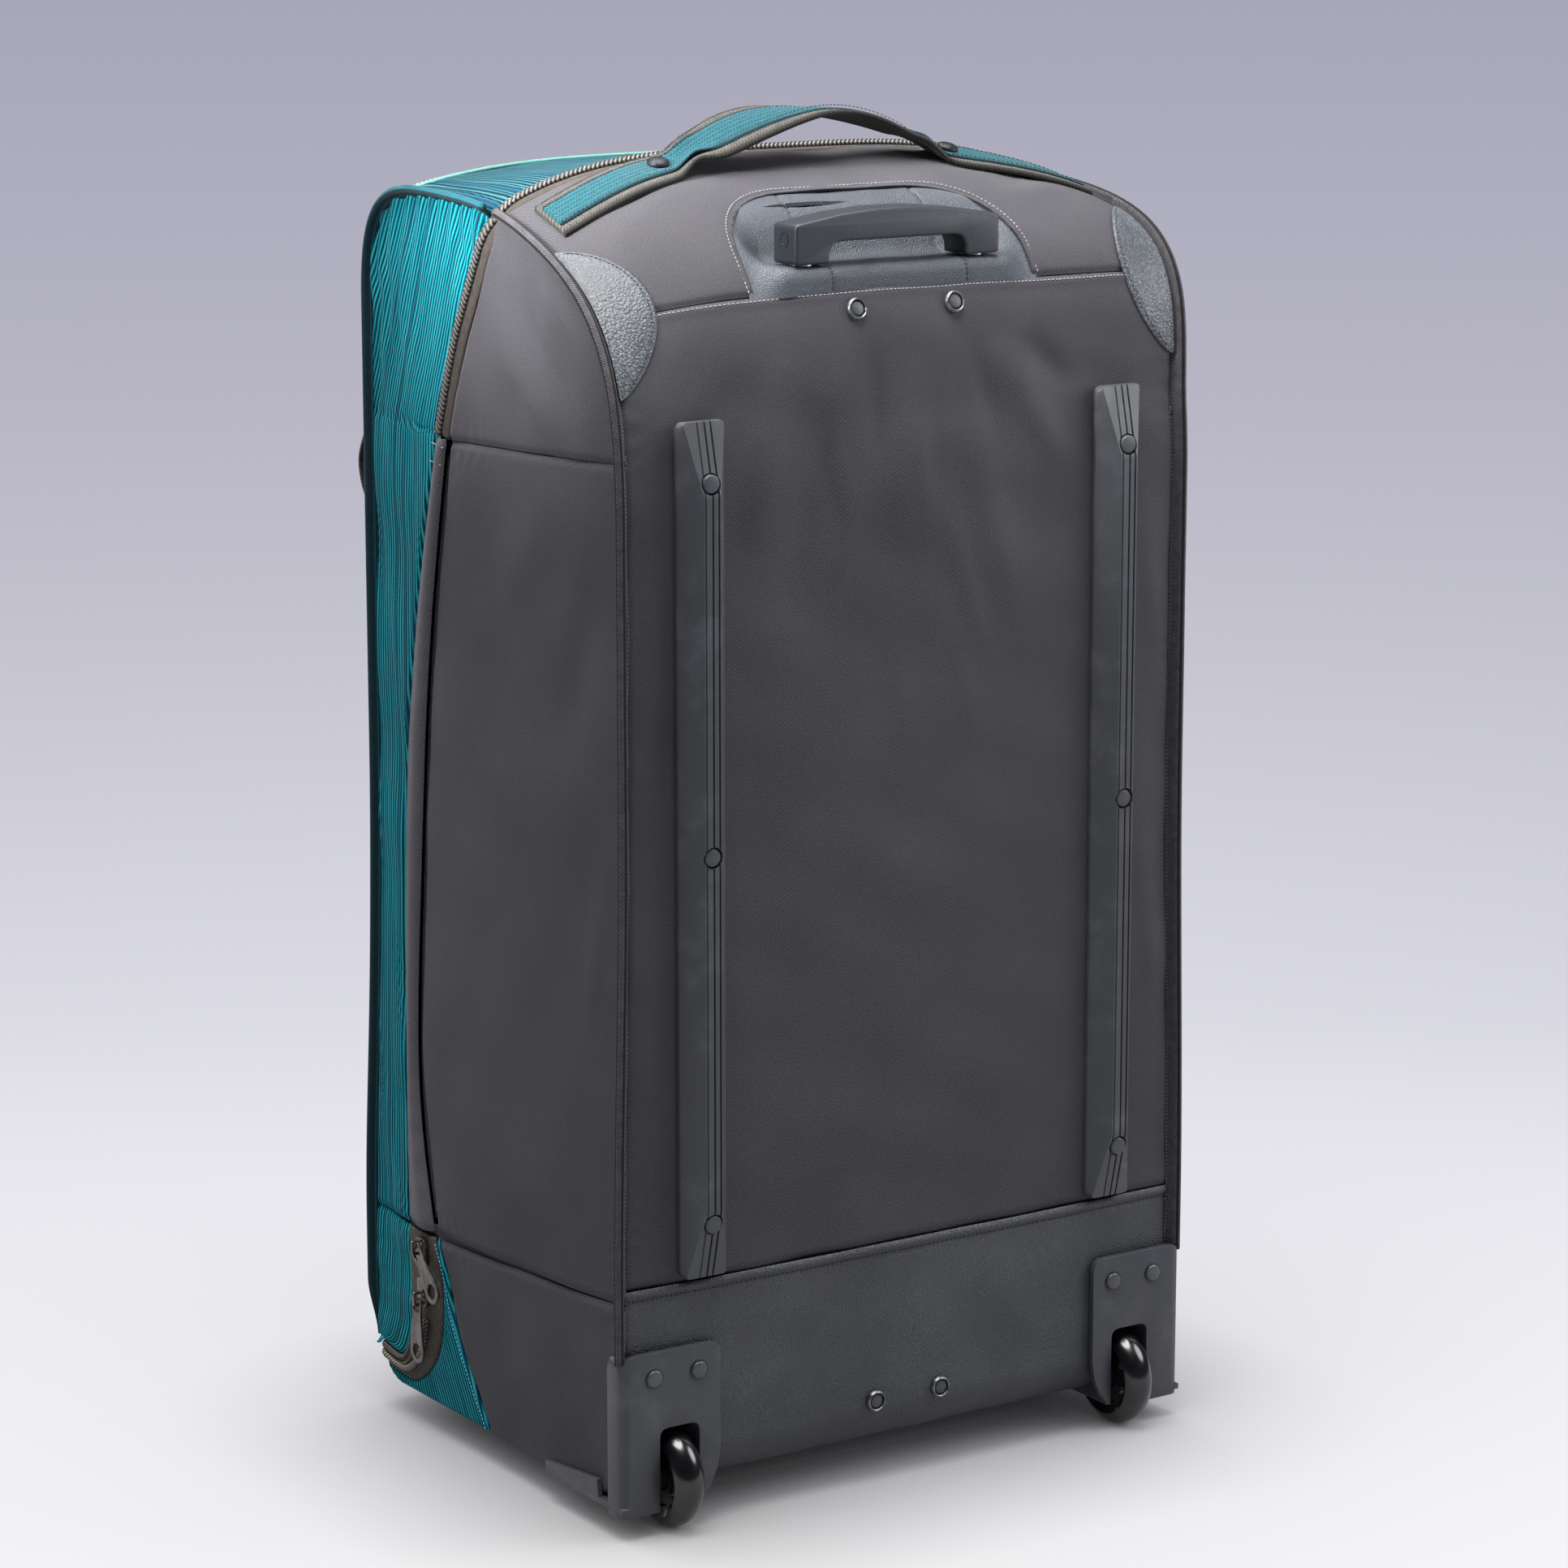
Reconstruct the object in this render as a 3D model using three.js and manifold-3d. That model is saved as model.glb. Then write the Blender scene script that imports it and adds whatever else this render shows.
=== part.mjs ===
// A tall wheeled travel bag. Sewn panels make a hollow body: grey back, sides and top, a teal
// lid held by a long zip, a second zip low round the front. The back carries two moulded rails,
// two corner brackets with wheels, and a trolley grip that slides out of a padded recess.
// Millimetres, +Z up. While it is shaped, y = 0 is the back and y grows towards the lid; the
// finished group is moved so that its origin is under the middle of the bag, on the floor.
import * as THREE from 'three';
import { mergeVertices } from 'three/addons/utils/BufferGeometryUtils.js';
import Module from 'manifold-3d';

const wasm = await Module();
wasm.setup();

// Body
const GAP = 0.3; // between pieces that touch
const CLOTH = 2; // a sewn panel: face cloth, scrim and facing
const HALF_WIDTH = 208; // side edge at mid height
const BASE_FLARE = 5; // how much wider each side is near the floor
const FLARE_Z = [450, 150]; // heights where the flare starts and is full
const BOTTOM_Z = 22;
const BACK_Y = 3;
const FRONT_Y = 307;
const TOE_Y = 313; // the front leans out towards its foot
const TOP_Z = 812;
const SHOULDER_Z = 640; // where the back starts to round over
const CROWN = { back: 3, top: 32, lid: 17, front: 14, power: 3.5 };
const LID_SLOPE_Y = [155, 290]; // over which the top crown falls to the lid crown
const SIDE_BULGE = 8;
const HEEL_R = 30;
const TOE_R = 30;

// Seams, by height on the back or front and by depth on the top
const BASE_LAP_Y = 60; // how far the base strip wraps under
const BASE_SEAM_Z = 158.6;
const TOP_SEAM_Z = 752;
const ZIP_WIDTH = 15;
const ZIP_Y = 149.5;
const LID_ZIP_Y = [268, 283];
const LOW_ZIP_Z = [46, 30];
const SIDE_SEAM = { back: 668, lowBack: 150 }; // heights on the rim at the back

// Trolley
const GRIP = { halfLength: 76, leg: 25, backY: 15.5, depth: 25, footZ: 778, endZ: 803, topZ: 810, bar: 19 };
const TUBE_X = 63.5;
const TUBE_Y = 29;
const TUBE = { inner: 7.6, innerWall: 1.2, outer: 9.0, bore: 8.1, sides: 12 };
const GUIDE_Z = [44, 765];
const INNER_FOOT_Z = 70;
const POCKET = { halfWidth: 104, height: 79, corner: 60, flat: 80, edge: 102 };

// Rails, brackets and wheels
const RAIL = { x: 156, baseY: 0.2, low: 162, high: 692, half: 17, lip: 3, ridge: 6 };
const RAIL_RISE = { full: 16, end: 6, ramp: 44 };
const RAIL_SCREW_Z = [655.5, 428, 197.4];
const SCREW_WELL = { r: 6.75, depth: 5 };
const WHEEL = { x: 175, y: 10, r: 32.5, width: 24, bore: 3.08, segments: 16 };
const AXLE_R = 3;
const SLOT = { half: 14.5, top: 69, round: 6, deep: 48 };
const BRACKET = { inner: 145, outer: 217, top: 119, low: 15, wall: 4.2, face: -4.5, lip: 3.4, lipY: 13 };
const FOOT = { x: 122, y: 272, half: 27, depth: 40, round: 8 };

// Webbing
const WEBBING = 3;
const HANDLE = { y: 118, endY: 106, endX: 192, half: 19, rise: 28, arch: 97, lift: 0.9 };
const STRIPE = { half: 12, thick: 1.5 };
const SIDE_STRAP = { near: 173, far: 203, thick: 2.5 };

const v3 = (x, y, z) => new THREE.Vector3(x, y, z);
const mix = THREE.MathUtils.lerp;
const ease = THREE.MathUtils.smoothstep;

// Large dents and swells of the stuffed body. Each row pushes the cloth near a point.
const SWELLS = [
  { at: v3(208, 45, 785), reach: 120, push: v3(4, -14, 7) }, // right shoulder stands full
  { at: v3(-208, 70, 780), reach: 110, push: v3(1, 6, -3) }, // left shoulder sinks
  { at: v3(0, 14, 752), reach: 75, wide: 2.7, push: v3(0, -7, 2.5) }, // stands out over the tubes
  { at: v3(-208, 110, 560), reach: 120, push: v3(5, 0, 0) }, // left side hollow under its top seam
  { at: v3(208, 110, 560), reach: 120, push: v3(-5, 0, 0) },
];

// Shallow folds in the back cloth, from just under its top seam: start, end, half width, height.
const FOLDS = [
  { from: [-92, 728], to: [-118, 610], half: 13, high: 3.0 },
  { from: [-62, 700], to: [-96, 560], half: 15, high: -2.4 },
  { from: [4, 722], to: [-8, 600], half: 16, high: 2.2 },
  { from: [66, 726], to: [118, 640], half: 12, high: 3.0 },
  { from: [88, 728], to: [128, 690], half: 9, high: -2.2 },
  { from: [40, 690], to: [84, 540], half: 15, high: 2.0 },
];

function settle(point) {
  const moved = point.clone();
  for (const { at, reach, wide = 1, push } of SWELLS) {
    const away = point.clone().sub(at).divide(v3(wide, 1, 1));
    const near = 1 - away.lengthSq() / reach ** 2;
    if (near > 0) moved.addScaledVector(push, near ** 2);
  }
  return moved;
}

function foldHeight(x, z) {
  let high = 0;
  for (const { from, to, half, high: peak } of FOLDS) {
    const run = [to[0] - from[0], to[1] - from[1]];
    const length = Math.hypot(...run);
    const along = ((x - from[0]) * run[0] + (z - from[1]) * run[1]) / length ** 2;
    const aside = ((x - from[0]) * run[1] - (z - from[1]) * run[0]) / length;
    if (along > 0 && along < 1) high += peak * Math.sin(Math.PI * along) * Math.exp(-((aside / half) ** 2));
  }
  return high;
}

// The rim is the edge where a side meets the cloth that wraps round back, top, front and bottom.
const rim = new THREE.Path();
rim.moveTo(BASE_LAP_Y, BOTTOM_Z);
rim.lineTo(BACK_Y + HEEL_R, BOTTOM_Z);
rim.absarc(BACK_Y + HEEL_R, BOTTOM_Z + HEEL_R, HEEL_R, -Math.PI / 2, -Math.PI, true);
rim.lineTo(BACK_Y, SHOULDER_Z);
rim.bezierCurveTo(BACK_Y + 2, SHOULDER_Z + 95, BACK_Y + 25, TOP_Z - 37, 113, TOP_Z - 13);
rim.bezierCurveTo(143, TOP_Z - 4.5, 190, TOP_Z, 240, TOP_Z);
rim.bezierCurveTo(288, TOP_Z, FRONT_Y - 1, TOP_Z - 17, FRONT_Y, TOP_Z - 67);
rim.lineTo(FRONT_Y, 330);
rim.bezierCurveTo(FRONT_Y, 230, TOE_Y, 190, TOE_Y, 120);
rim.lineTo(TOE_Y, BOTTOM_Z + TOE_R);
rim.absarc(TOE_Y - TOE_R, BOTTOM_Z + TOE_R, TOE_R, 0, -Math.PI / 2, true);
rim.lineTo(BASE_LAP_Y, BOTTOM_Z);
const RIM_LENGTH = rim.getLength();

function rimAt(s) {
  const step = 0.5;
  const place = (d) => rim.getPoint(THREE.MathUtils.clamp(d / RIM_LENGTH, 0, 1));
  const here = place(s);
  const run = place(s + step).sub(place(s - step)).normalize();
  return { y: here.x, z: here.y, ny: -run.y, nz: run.x };
}

// Distance along the rim to the first point past a given one where the test holds.
function reach(test, from = 0) {
  const step = 0.2;
  let s = from;
  while (s < RIM_LENGTH && !test(rimAt(s))) s += step;
  return s;
}

const S_BASE_SEAM = reach((p) => p.z >= BASE_SEAM_Z);
const S_TOP_SEAM = reach((p) => p.z >= TOP_SEAM_Z);
const S_ZIP_BACK = reach((p) => p.y >= ZIP_Y - ZIP_WIDTH / 2, S_TOP_SEAM);
const S_ZIP_FRONT = reach((p) => p.y >= ZIP_Y + ZIP_WIDTH / 2, S_ZIP_BACK);
const S_LID_ZIP = LID_ZIP_Y.map((y) => reach((p) => p.y >= y, S_ZIP_FRONT));
const S_FRONT = reach((p) => p.z <= TOP_Z - 67, S_LID_ZIP[1]);
const S_LOW_ZIP = LOW_ZIP_Z.map((z) => reach((p) => p.z <= z, S_FRONT));

const halfWidth = (z) => HALF_WIDTH + BASE_FLARE * ease(-z, -FLARE_Z[0], -FLARE_Z[1]);

function crownAt({ y, ny, nz }) {
  const top = mix(CROWN.top, CROWN.lid, ease(y, ...LID_SLOPE_Y));
  const side = ny < 0 ? CROWN.back : CROWN.front;
  return side * ny ** 2 + top * Math.max(nz, 0) ** 2;
}

// A point on the wrapping cloth: u runs from the left rim, -1, to the right rim, 1.
function wrapPoint(u, s, lift = 0) {
  const r = rimAt(s);
  const out = crownAt(r) * (1 - Math.abs(u) ** CROWN.power) + lift;
  return v3(u * (halfWidth(r.z) - CLOTH - GAP), r.y + r.ny * out, r.z + r.nz * out);
}

// The same cloth by x and a depth or height, between two distances along the rim.
function wrapWhere(x, axis, value, s0, s1) {
  const rising = wrapPoint(0, s1)[axis] > wrapPoint(0, s0)[axis];
  let [low, high] = [s0, s1];
  const acrossAt = (s) => x / (halfWidth(rimAt(s).z) - CLOTH - GAP);
  for (let turn = 0; turn < 30; turn++) {
    const s = (low + high) / 2;
    if (wrapPoint(acrossAt(s), s)[axis] < value === rising) low = s;
    else high = s;
  }
  return { point: wrapPoint(acrossAt(low), low), s: low, u: acrossAt(low) };
}

// How far the side stands out from the rim's plane.
function sideOut(y, z) {
  const deep = (y - (BACK_Y + FRONT_Y) / 2) / ((FRONT_Y - BACK_Y) / 2);
  const high = (z - (TOP_Z + BOTTOM_Z) / 2) / ((TOP_Z - BOTTOM_Z) / 2 - 4);
  const away = (deep ** 4 + high ** 4) ** 0.25;
  return SIDE_BULGE * Math.max(0, 1 - away ** 2);
}

const sidePoint = (side, [y, z], lift = 0) => v3(side * (halfWidth(z) + sideOut(y, z) + lift), y, z);

// A closed solid from points and faces, turned so that its faces point out.
function solid(points, faces) {
  const size = (total, [a, b, c]) => total + points[a].dot(points[b].clone().cross(points[c]));
  const inward = faces.reduce(size, 0) < 0;
  const geometry = new THREE.BufferGeometry();
  const numbers = points.flatMap((p) => [p.x, p.y, p.z]);
  geometry.setAttribute('position', new THREE.Float32BufferAttribute(numbers, 3));
  geometry.setIndex(faces.flatMap(([a, b, c]) => (inward ? [a, c, b] : [a, b, c])));
  return geometry;
}

// A cloth panel: a grid of points on its outer face and the same grid on its inner face.
function sheet(rows, cols, outer, inner) {
  const points = [];
  for (const face of [outer, inner]) {
    for (let i = 0; i <= rows; i++) {
      for (let j = 0; j <= cols; j++) points.push(settle(face(i / rows, j / cols)));
    }
  }
  const at = (layer, i, j) => (layer * (rows + 1) + i) * (cols + 1) + j;
  const faces = [];
  const quad = (a, b, c, d) => faces.push([a, b, c], [a, c, d]);
  for (let i = 0; i < rows; i++) {
    for (let j = 0; j < cols; j++) {
      quad(at(0, i, j), at(0, i, j + 1), at(0, i + 1, j + 1), at(0, i + 1, j));
      quad(at(1, i, j), at(1, i + 1, j), at(1, i + 1, j + 1), at(1, i, j + 1));
    }
    quad(at(0, i, 0), at(0, i + 1, 0), at(1, i + 1, 0), at(1, i, 0));
    quad(at(0, i, cols), at(1, i, cols), at(1, i + 1, cols), at(0, i + 1, cols));
  }
  for (let j = 0; j < cols; j++) {
    quad(at(0, 0, j), at(1, 0, j), at(1, 0, j + 1), at(0, 0, j + 1));
    quad(at(0, rows, j), at(0, rows, j + 1), at(1, rows, j + 1), at(1, rows, j));
  }
  return solid(points, faces);
}

// A solid through a row of like rings, each a list of points in the same order.
function loft(rings) {
  const count = rings[0].length;
  const faces = [];
  for (let i = 0; i + 1 < rings.length; i++) {
    for (let j = 0; j < count; j++) {
      const [a, b] = [i * count + j, i * count + ((j + 1) % count)];
      faces.push([a, b, b + count], [a, b + count, a + count]);
    }
  }
  const last = (rings.length - 1) * count;
  for (let j = 1; j + 1 < count; j++) faces.push([0, j + 1, j], [last, last + j, last + j + 1]);
  return solid(rings.flat(), faces);
}

// A flat strip: each row has the points across it and the direction of its thickness.
function ribbon(rows, thick) {
  const raised = ({ line, n }) => line.map((p) => p.clone().addScaledVector(n, thick));
  const ring = (row) => [...row.line, ...raised(row).reverse()];
  return loft(rows.map(ring));
}

function toManifold(geometry) {
  const bare = geometry.clone();
  bare.deleteAttribute('normal');
  bare.deleteAttribute('uv');
  const { attributes, index } = mergeVertices(bare, 1e-4);
  const [vertProperties, triVerts] = [attributes.position.array, new Uint32Array(index.array)];
  return new wasm.Manifold(new wasm.Mesh({ numProp: 3, vertProperties, triVerts }));
}

function fromManifold(manifold) {
  const { vertProperties, triVerts } = manifold.getMesh();
  const geometry = new THREE.BufferGeometry();
  geometry.setAttribute('position', new THREE.Float32BufferAttribute(vertProperties, 3));
  geometry.setIndex([...triVerts]);
  return geometry;
}

const join = (...pieces) => fromManifold(pieces.map(toManifold).reduce((sum, piece) => sum.add(piece)));
const cut = (piece, ...tools) =>
  fromManifold(tools.map(toManifold).reduce((rest, tool) => rest.subtract(tool), toManifold(piece)));
const overlap = (a, b) => fromManifold(toManifold(a).intersect(toManifold(b)));

function block([x0, x1], [y0, y1], [z0, z1]) {
  const box = new THREE.BoxGeometry(x1 - x0, y1 - y0, z1 - z0);
  return box.translate((x0 + x1) / 2, (y0 + y1) / 2, (z0 + z1) / 2);
}

function extrude(shape, depth, curveSegments = 5) {
  return new THREE.ExtrudeGeometry(shape, { depth, bevelEnabled: false, curveSegments });
}

// An outline drawn in x and z, given a depth from one y to another.
function extrudeY(shape, y0, y1, segments) {
  return extrude(shape, y1 - y0, segments).rotateX(Math.PI / 2).translate(0, y1, 0);
}

function roundRect(x0, x1, y0, y1, r) {
  const shape = new THREE.Shape();
  shape.moveTo(x0 + r, y0);
  shape.lineTo(x1 - r, y0).quadraticCurveTo(x1, y0, x1, y0 + r);
  shape.lineTo(x1, y1 - r).quadraticCurveTo(x1, y1, x1 - r, y1);
  shape.lineTo(x0 + r, y1).quadraticCurveTo(x0, y1, x0, y1 - r);
  shape.lineTo(x0, y0 + r).quadraticCurveTo(x0, y0, x0 + r, y0);
  return shape;
}

// The left copy of a piece made for the right.
function mirrored(geometry) {
  const points = [];
  const flat = geometry.index ? geometry : mergeVertices(geometry);
  const { position } = flat.attributes;
  for (let i = 0; i < position.count; i++) {
    points.push(v3(-position.getX(i), position.getY(i), position.getZ(i)));
  }
  const faces = [];
  for (let i = 0; i < flat.index.count; i += 3) faces.push([0, 1, 2].map((k) => flat.index.getX(i + k)));
  return solid(points, faces);
}

function finish(color, roughness, metalness = 0) {
  return new THREE.MeshStandardMaterial({ color, roughness, metalness });
}
const GREY_CLOTH = finish(0x4a474b, 0.9);
const TEAL_CLOTH = finish(0x0d6f7c, 0.9);
const COATED = finish(0x45484b, 0.6);
const PIPING = finish(0x504e52, 0.85);
const TEAL_PIPING = finish(0x1b4a5c, 0.85);
const TAPE = finish(0x6a6158, 0.9);
const TEETH = finish(0x2e2b28, 0.4, 0.6);
const MINT = finish(0xbfe8e0, 0.7);
const GREY_WEB = finish(0x6b665f, 0.9);
const TEAL_WEB = finish(0x1b93a3, 0.85);
const GUNMETAL = finish(0x57534e, 0.35, 0.9);
const MOULDED = finish(0x43464a, 0.5);
const TYRE = finish(0x15171c, 0.2);
const STEEL = finish(0x8d9094, 0.35, 1);
const ALLOY = finish(0x9a9da1, 0.4, 1);

const bag = new THREE.Group();
function add(name, geometry, material, parent = bag) {
  const mesh = new THREE.Mesh(geometry, material);
  mesh.name = name;
  parent.add(mesh);
  return mesh;
}
const SIDES = [['left', -1], ['right', 1]];

// Wrapping panels. Columns crowd towards the rims, where the crown turns down.
const across = (b) => Math.sin((b - 0.5) * Math.PI);
const PLAIN = { lift: 0, thick: CLOTH, from: () => -1, to: () => 1, fold: () => 0, spread: (a) => a };
function wrapSheet(s0, s1, rows, cols, options) {
  const { lift, thick, from, to, fold, spread } = { ...PLAIN, ...options };
  const place = (a, b, drop) => {
    const s = mix(s0 + GAP / 2, s1 - GAP / 2, spread(a));
    const u = mix(from(a), to(a), (across(b) + 1) / 2);
    const flat = wrapPoint(u, s);
    return wrapPoint(u, s, lift - drop + fold(flat.x, flat.z));
  };
  return sheet(rows, cols, (a, b) => place(a, b, 0), (a, b) => place(a, b, thick));
}

const towardsTop = (a) => 1 - (1 - a) ** 1.7; // rows crowd where the back rounds over
const wheelWell = (side) => block([side * WHEEL.x - 19, side * WHEEL.x + 19], [-20, 53], [0, 77]);
const backCloth = wrapSheet(S_BASE_SEAM, S_TOP_SEAM, 12, 14, { fold: foldHeight, spread: towardsTop });
add('back_panel', backCloth, GREY_CLOTH);
add('base_strip', cut(wrapSheet(0, S_BASE_SEAM, 8, 6), wheelWell(-1), wheelWell(1)), COATED);
add('bottom_panel', wrapSheet(S_LOW_ZIP[1], RIM_LENGTH, 6, 6, { spread: (a) => a ** 2 }), GREY_CLOTH);
add('lid_top', wrapSheet(S_ZIP_FRONT, S_LID_ZIP[0], 3, 12), TEAL_CLOTH);
add('lid_pocket_zip', wrapSheet(S_LID_ZIP[0], S_LID_ZIP[1], 1, 12, { lift: 1.2, thick: 3 }), MINT);
add('front_panel', wrapSheet(S_LID_ZIP[1], S_LOW_ZIP[0], 10, 8), TEAL_CLOTH);

// Trolley recess: a padded panel let into a rounded opening in the top panel. It starts at the
// top seam, turns in to a floor under the grip, and climbs again behind it.
const pocketFoot = wrapPoint(0, S_TOP_SEAM);
const S_POCKET_TOP = reach((p) => p.y >= 74, S_TOP_SEAM);
const pocketHead = wrapPoint(0, S_POCKET_TOP);
const pocketUp = pocketHead.clone().sub(pocketFoot).normalize();
const pocketOut = v3(1, 0, 0).cross(pocketUp);
function pocketPrism(inset) {
  const [half, high, corner] = [POCKET.halfWidth - inset, POCKET.height - inset, POCKET.corner];
  const shape = new THREE.Shape();
  shape.moveTo(-half, -30);
  shape.lineTo(half, -30).lineTo(half, high - corner);
  shape.bezierCurveTo(half, high - corner * 0.4, half - corner * 0.4, high, half - corner, high);
  shape.lineTo(corner - half, high);
  shape.bezierCurveTo(corner * 0.4 - half, high, -half, high - corner * 0.4, -half, high - corner);
  const reachOut = 60;
  const prism = extrude(shape, 2 * reachOut, 4).translate(0, 0, -reachOut);
  const turn = new THREE.Matrix4().makeBasis(v3(1, 0, 0), pocketUp, pocketOut);
  return prism.applyMatrix4(turn).translate(pocketFoot.x, pocketFoot.y, pocketFoot.z);
}
const recess = new THREE.SplineCurve([
  new THREE.Vector2(pocketFoot.y, pocketFoot.z),
  new THREE.Vector2(pocketFoot.y - 1, pocketFoot.z + 6),
  new THREE.Vector2(pocketFoot.y + 6, GRIP.footZ - 5),
  new THREE.Vector2(TUBE_Y, GRIP.footZ - 3.5),
  new THREE.Vector2(GRIP.backY + GRIP.depth + 6, GRIP.footZ - 3),
  new THREE.Vector2(GRIP.backY + GRIP.depth + 13, GRIP.footZ + 9),
  new THREE.Vector2((GRIP.backY + GRIP.depth + 18 + pocketHead.y) / 2, GRIP.topZ - 4),
  new THREE.Vector2(pocketHead.y, pocketHead.z),
]);
const sewnIn = rimAt(S_TOP_SEAM);
function pocketPoint(a, b, drop) {
  const s = mix(S_TOP_SEAM + 1.2, S_POCKET_TOP, a);
  const x = mix(-POCKET.halfWidth, POCKET.halfWidth, b);
  const u = x / (halfWidth(rimAt(s).z) - CLOTH - GAP);
  const plain = wrapPoint(u, s);
  const centre = wrapPoint(0, s);
  const sunk = recess.getPointAt(a);
  const share = 1 - ease(Math.abs(x), POCKET.flat, POCKET.edge);
  return v3(
    x,
    plain.y + share * (sunk.x - centre.y) - drop * sewnIn.ny,
    plain.z + share * (sunk.y - centre.z) - drop * sewnIn.nz,
  );
}
function tubeRod(side, radius, length, z) {
  const rod = new THREE.CylinderGeometry(radius, radius, length, TUBE.sides);
  return rod.rotateX(Math.PI / 2).translate(side * TUBE_X, TUBE_Y, z);
}
const tubeHole = (side) => tubeRod(side, TUBE.outer, 90, GRIP.footZ);
const pocketSheet = sheet(9, 8, (a, b) => pocketPoint(a, b, 0), (a, b) => pocketPoint(a, b, CLOTH));
const pocketCut = overlap(pocketSheet, pocketPrism(GAP));
add('trolley_pocket', cut(pocketCut, tubeHole(-1), tubeHole(1)), COATED);
add('top_panel', cut(wrapSheet(S_TOP_SEAM, S_ZIP_BACK, 8, 14), pocketPrism(0)), GREY_CLOTH);

// Coated patches over the two top corners of the back, widest half way along.
const S_PATCH = [reach((p) => p.z >= 706), reach((p) => p.y >= 80, S_TOP_SEAM)];
for (const [label, side] of SIDES) {
  const inner = (a) => side * (1 - (3 + 34 * Math.sin(Math.PI * a) ** 0.8) / HALF_WIDTH);
  const patch = wrapSheet(...S_PATCH, 10, 3, { lift: 2.1, thick: 1.2, from: inner, to: () => side });
  add(`corner_patch_${label}`, patch, COATED);
}

// Side panels. Each is ruled between two edges drawn in depth and height.
const depthLine = (rows) => new THREE.SplineCurve(rows.map(({ y, z }) => new THREE.Vector2(y, z)));
const ZIP_EDGE = depthLine([
  { y: 209, z: 664 }, { y: 192, z: 718 }, { y: 175, z: 755 }, { y: 155, z: 796 },
]);
const FLAP_FRONT = depthLine([
  { y: 263, z: 139 }, { y: 264, z: 250 }, { y: 265, z: 411 }, { y: 248, z: 530 }, { y: 217, z: 663 },
]);
const FLAP_BACK = depthLine([
  { y: 227, z: 141 }, { y: 244, z: 250 }, { y: 239, z: 411 }, { y: 225, z: 530 }, { y: 202, z: 661 },
]);
const LOW_INNER = depthLine([
  { y: 263, z: 136 }, { y: 262, z: 102 }, { y: 264, z: 72 },
  { y: 270, z: 52 }, { y: 282, z: 42 }, { y: 306, z: 45.8 },
]);
const LOW_OUTER = depthLine([
  { y: 226, z: 137 }, { y: 220, z: 105 }, { y: 222, z: 76 },
  { y: 234, z: 50 }, { y: 262, z: 29.5 }, { y: 300, z: 31.5 },
]);
const WEDGE_SEAM = depthLine([
  { y: 224, z: 136 }, { y: 214, z: 115 }, { y: 204, z: 84 }, { y: 188, z: 56 }, { y: 165, z: BOTTOM_Z },
]);
const beside = (curve, a, shift = 0) => {
  const [p, run] = [curve.getPoint(a), curve.getTangent(a)];
  return [p.x + run.y * shift, p.y - run.x * shift];
};
const rimEdge = (s0, s1) => (a) => {
  const p = rimAt(mix(s0, s1, a));
  return [p.y, p.z];
};

function sidePanel(side, rows, cols, front, back, thick = CLOTH) {
  const place = (a, b, drop) => {
    const [f, k] = [front(a), back(a)];
    return sidePoint(side, [mix(f[0], k[0], b), mix(f[1], k[1], b)], -drop);
  };
  return sheet(rows, cols, (a, b) => place(a, b, 0), (a, b) => place(a, b, thick));
}

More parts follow.
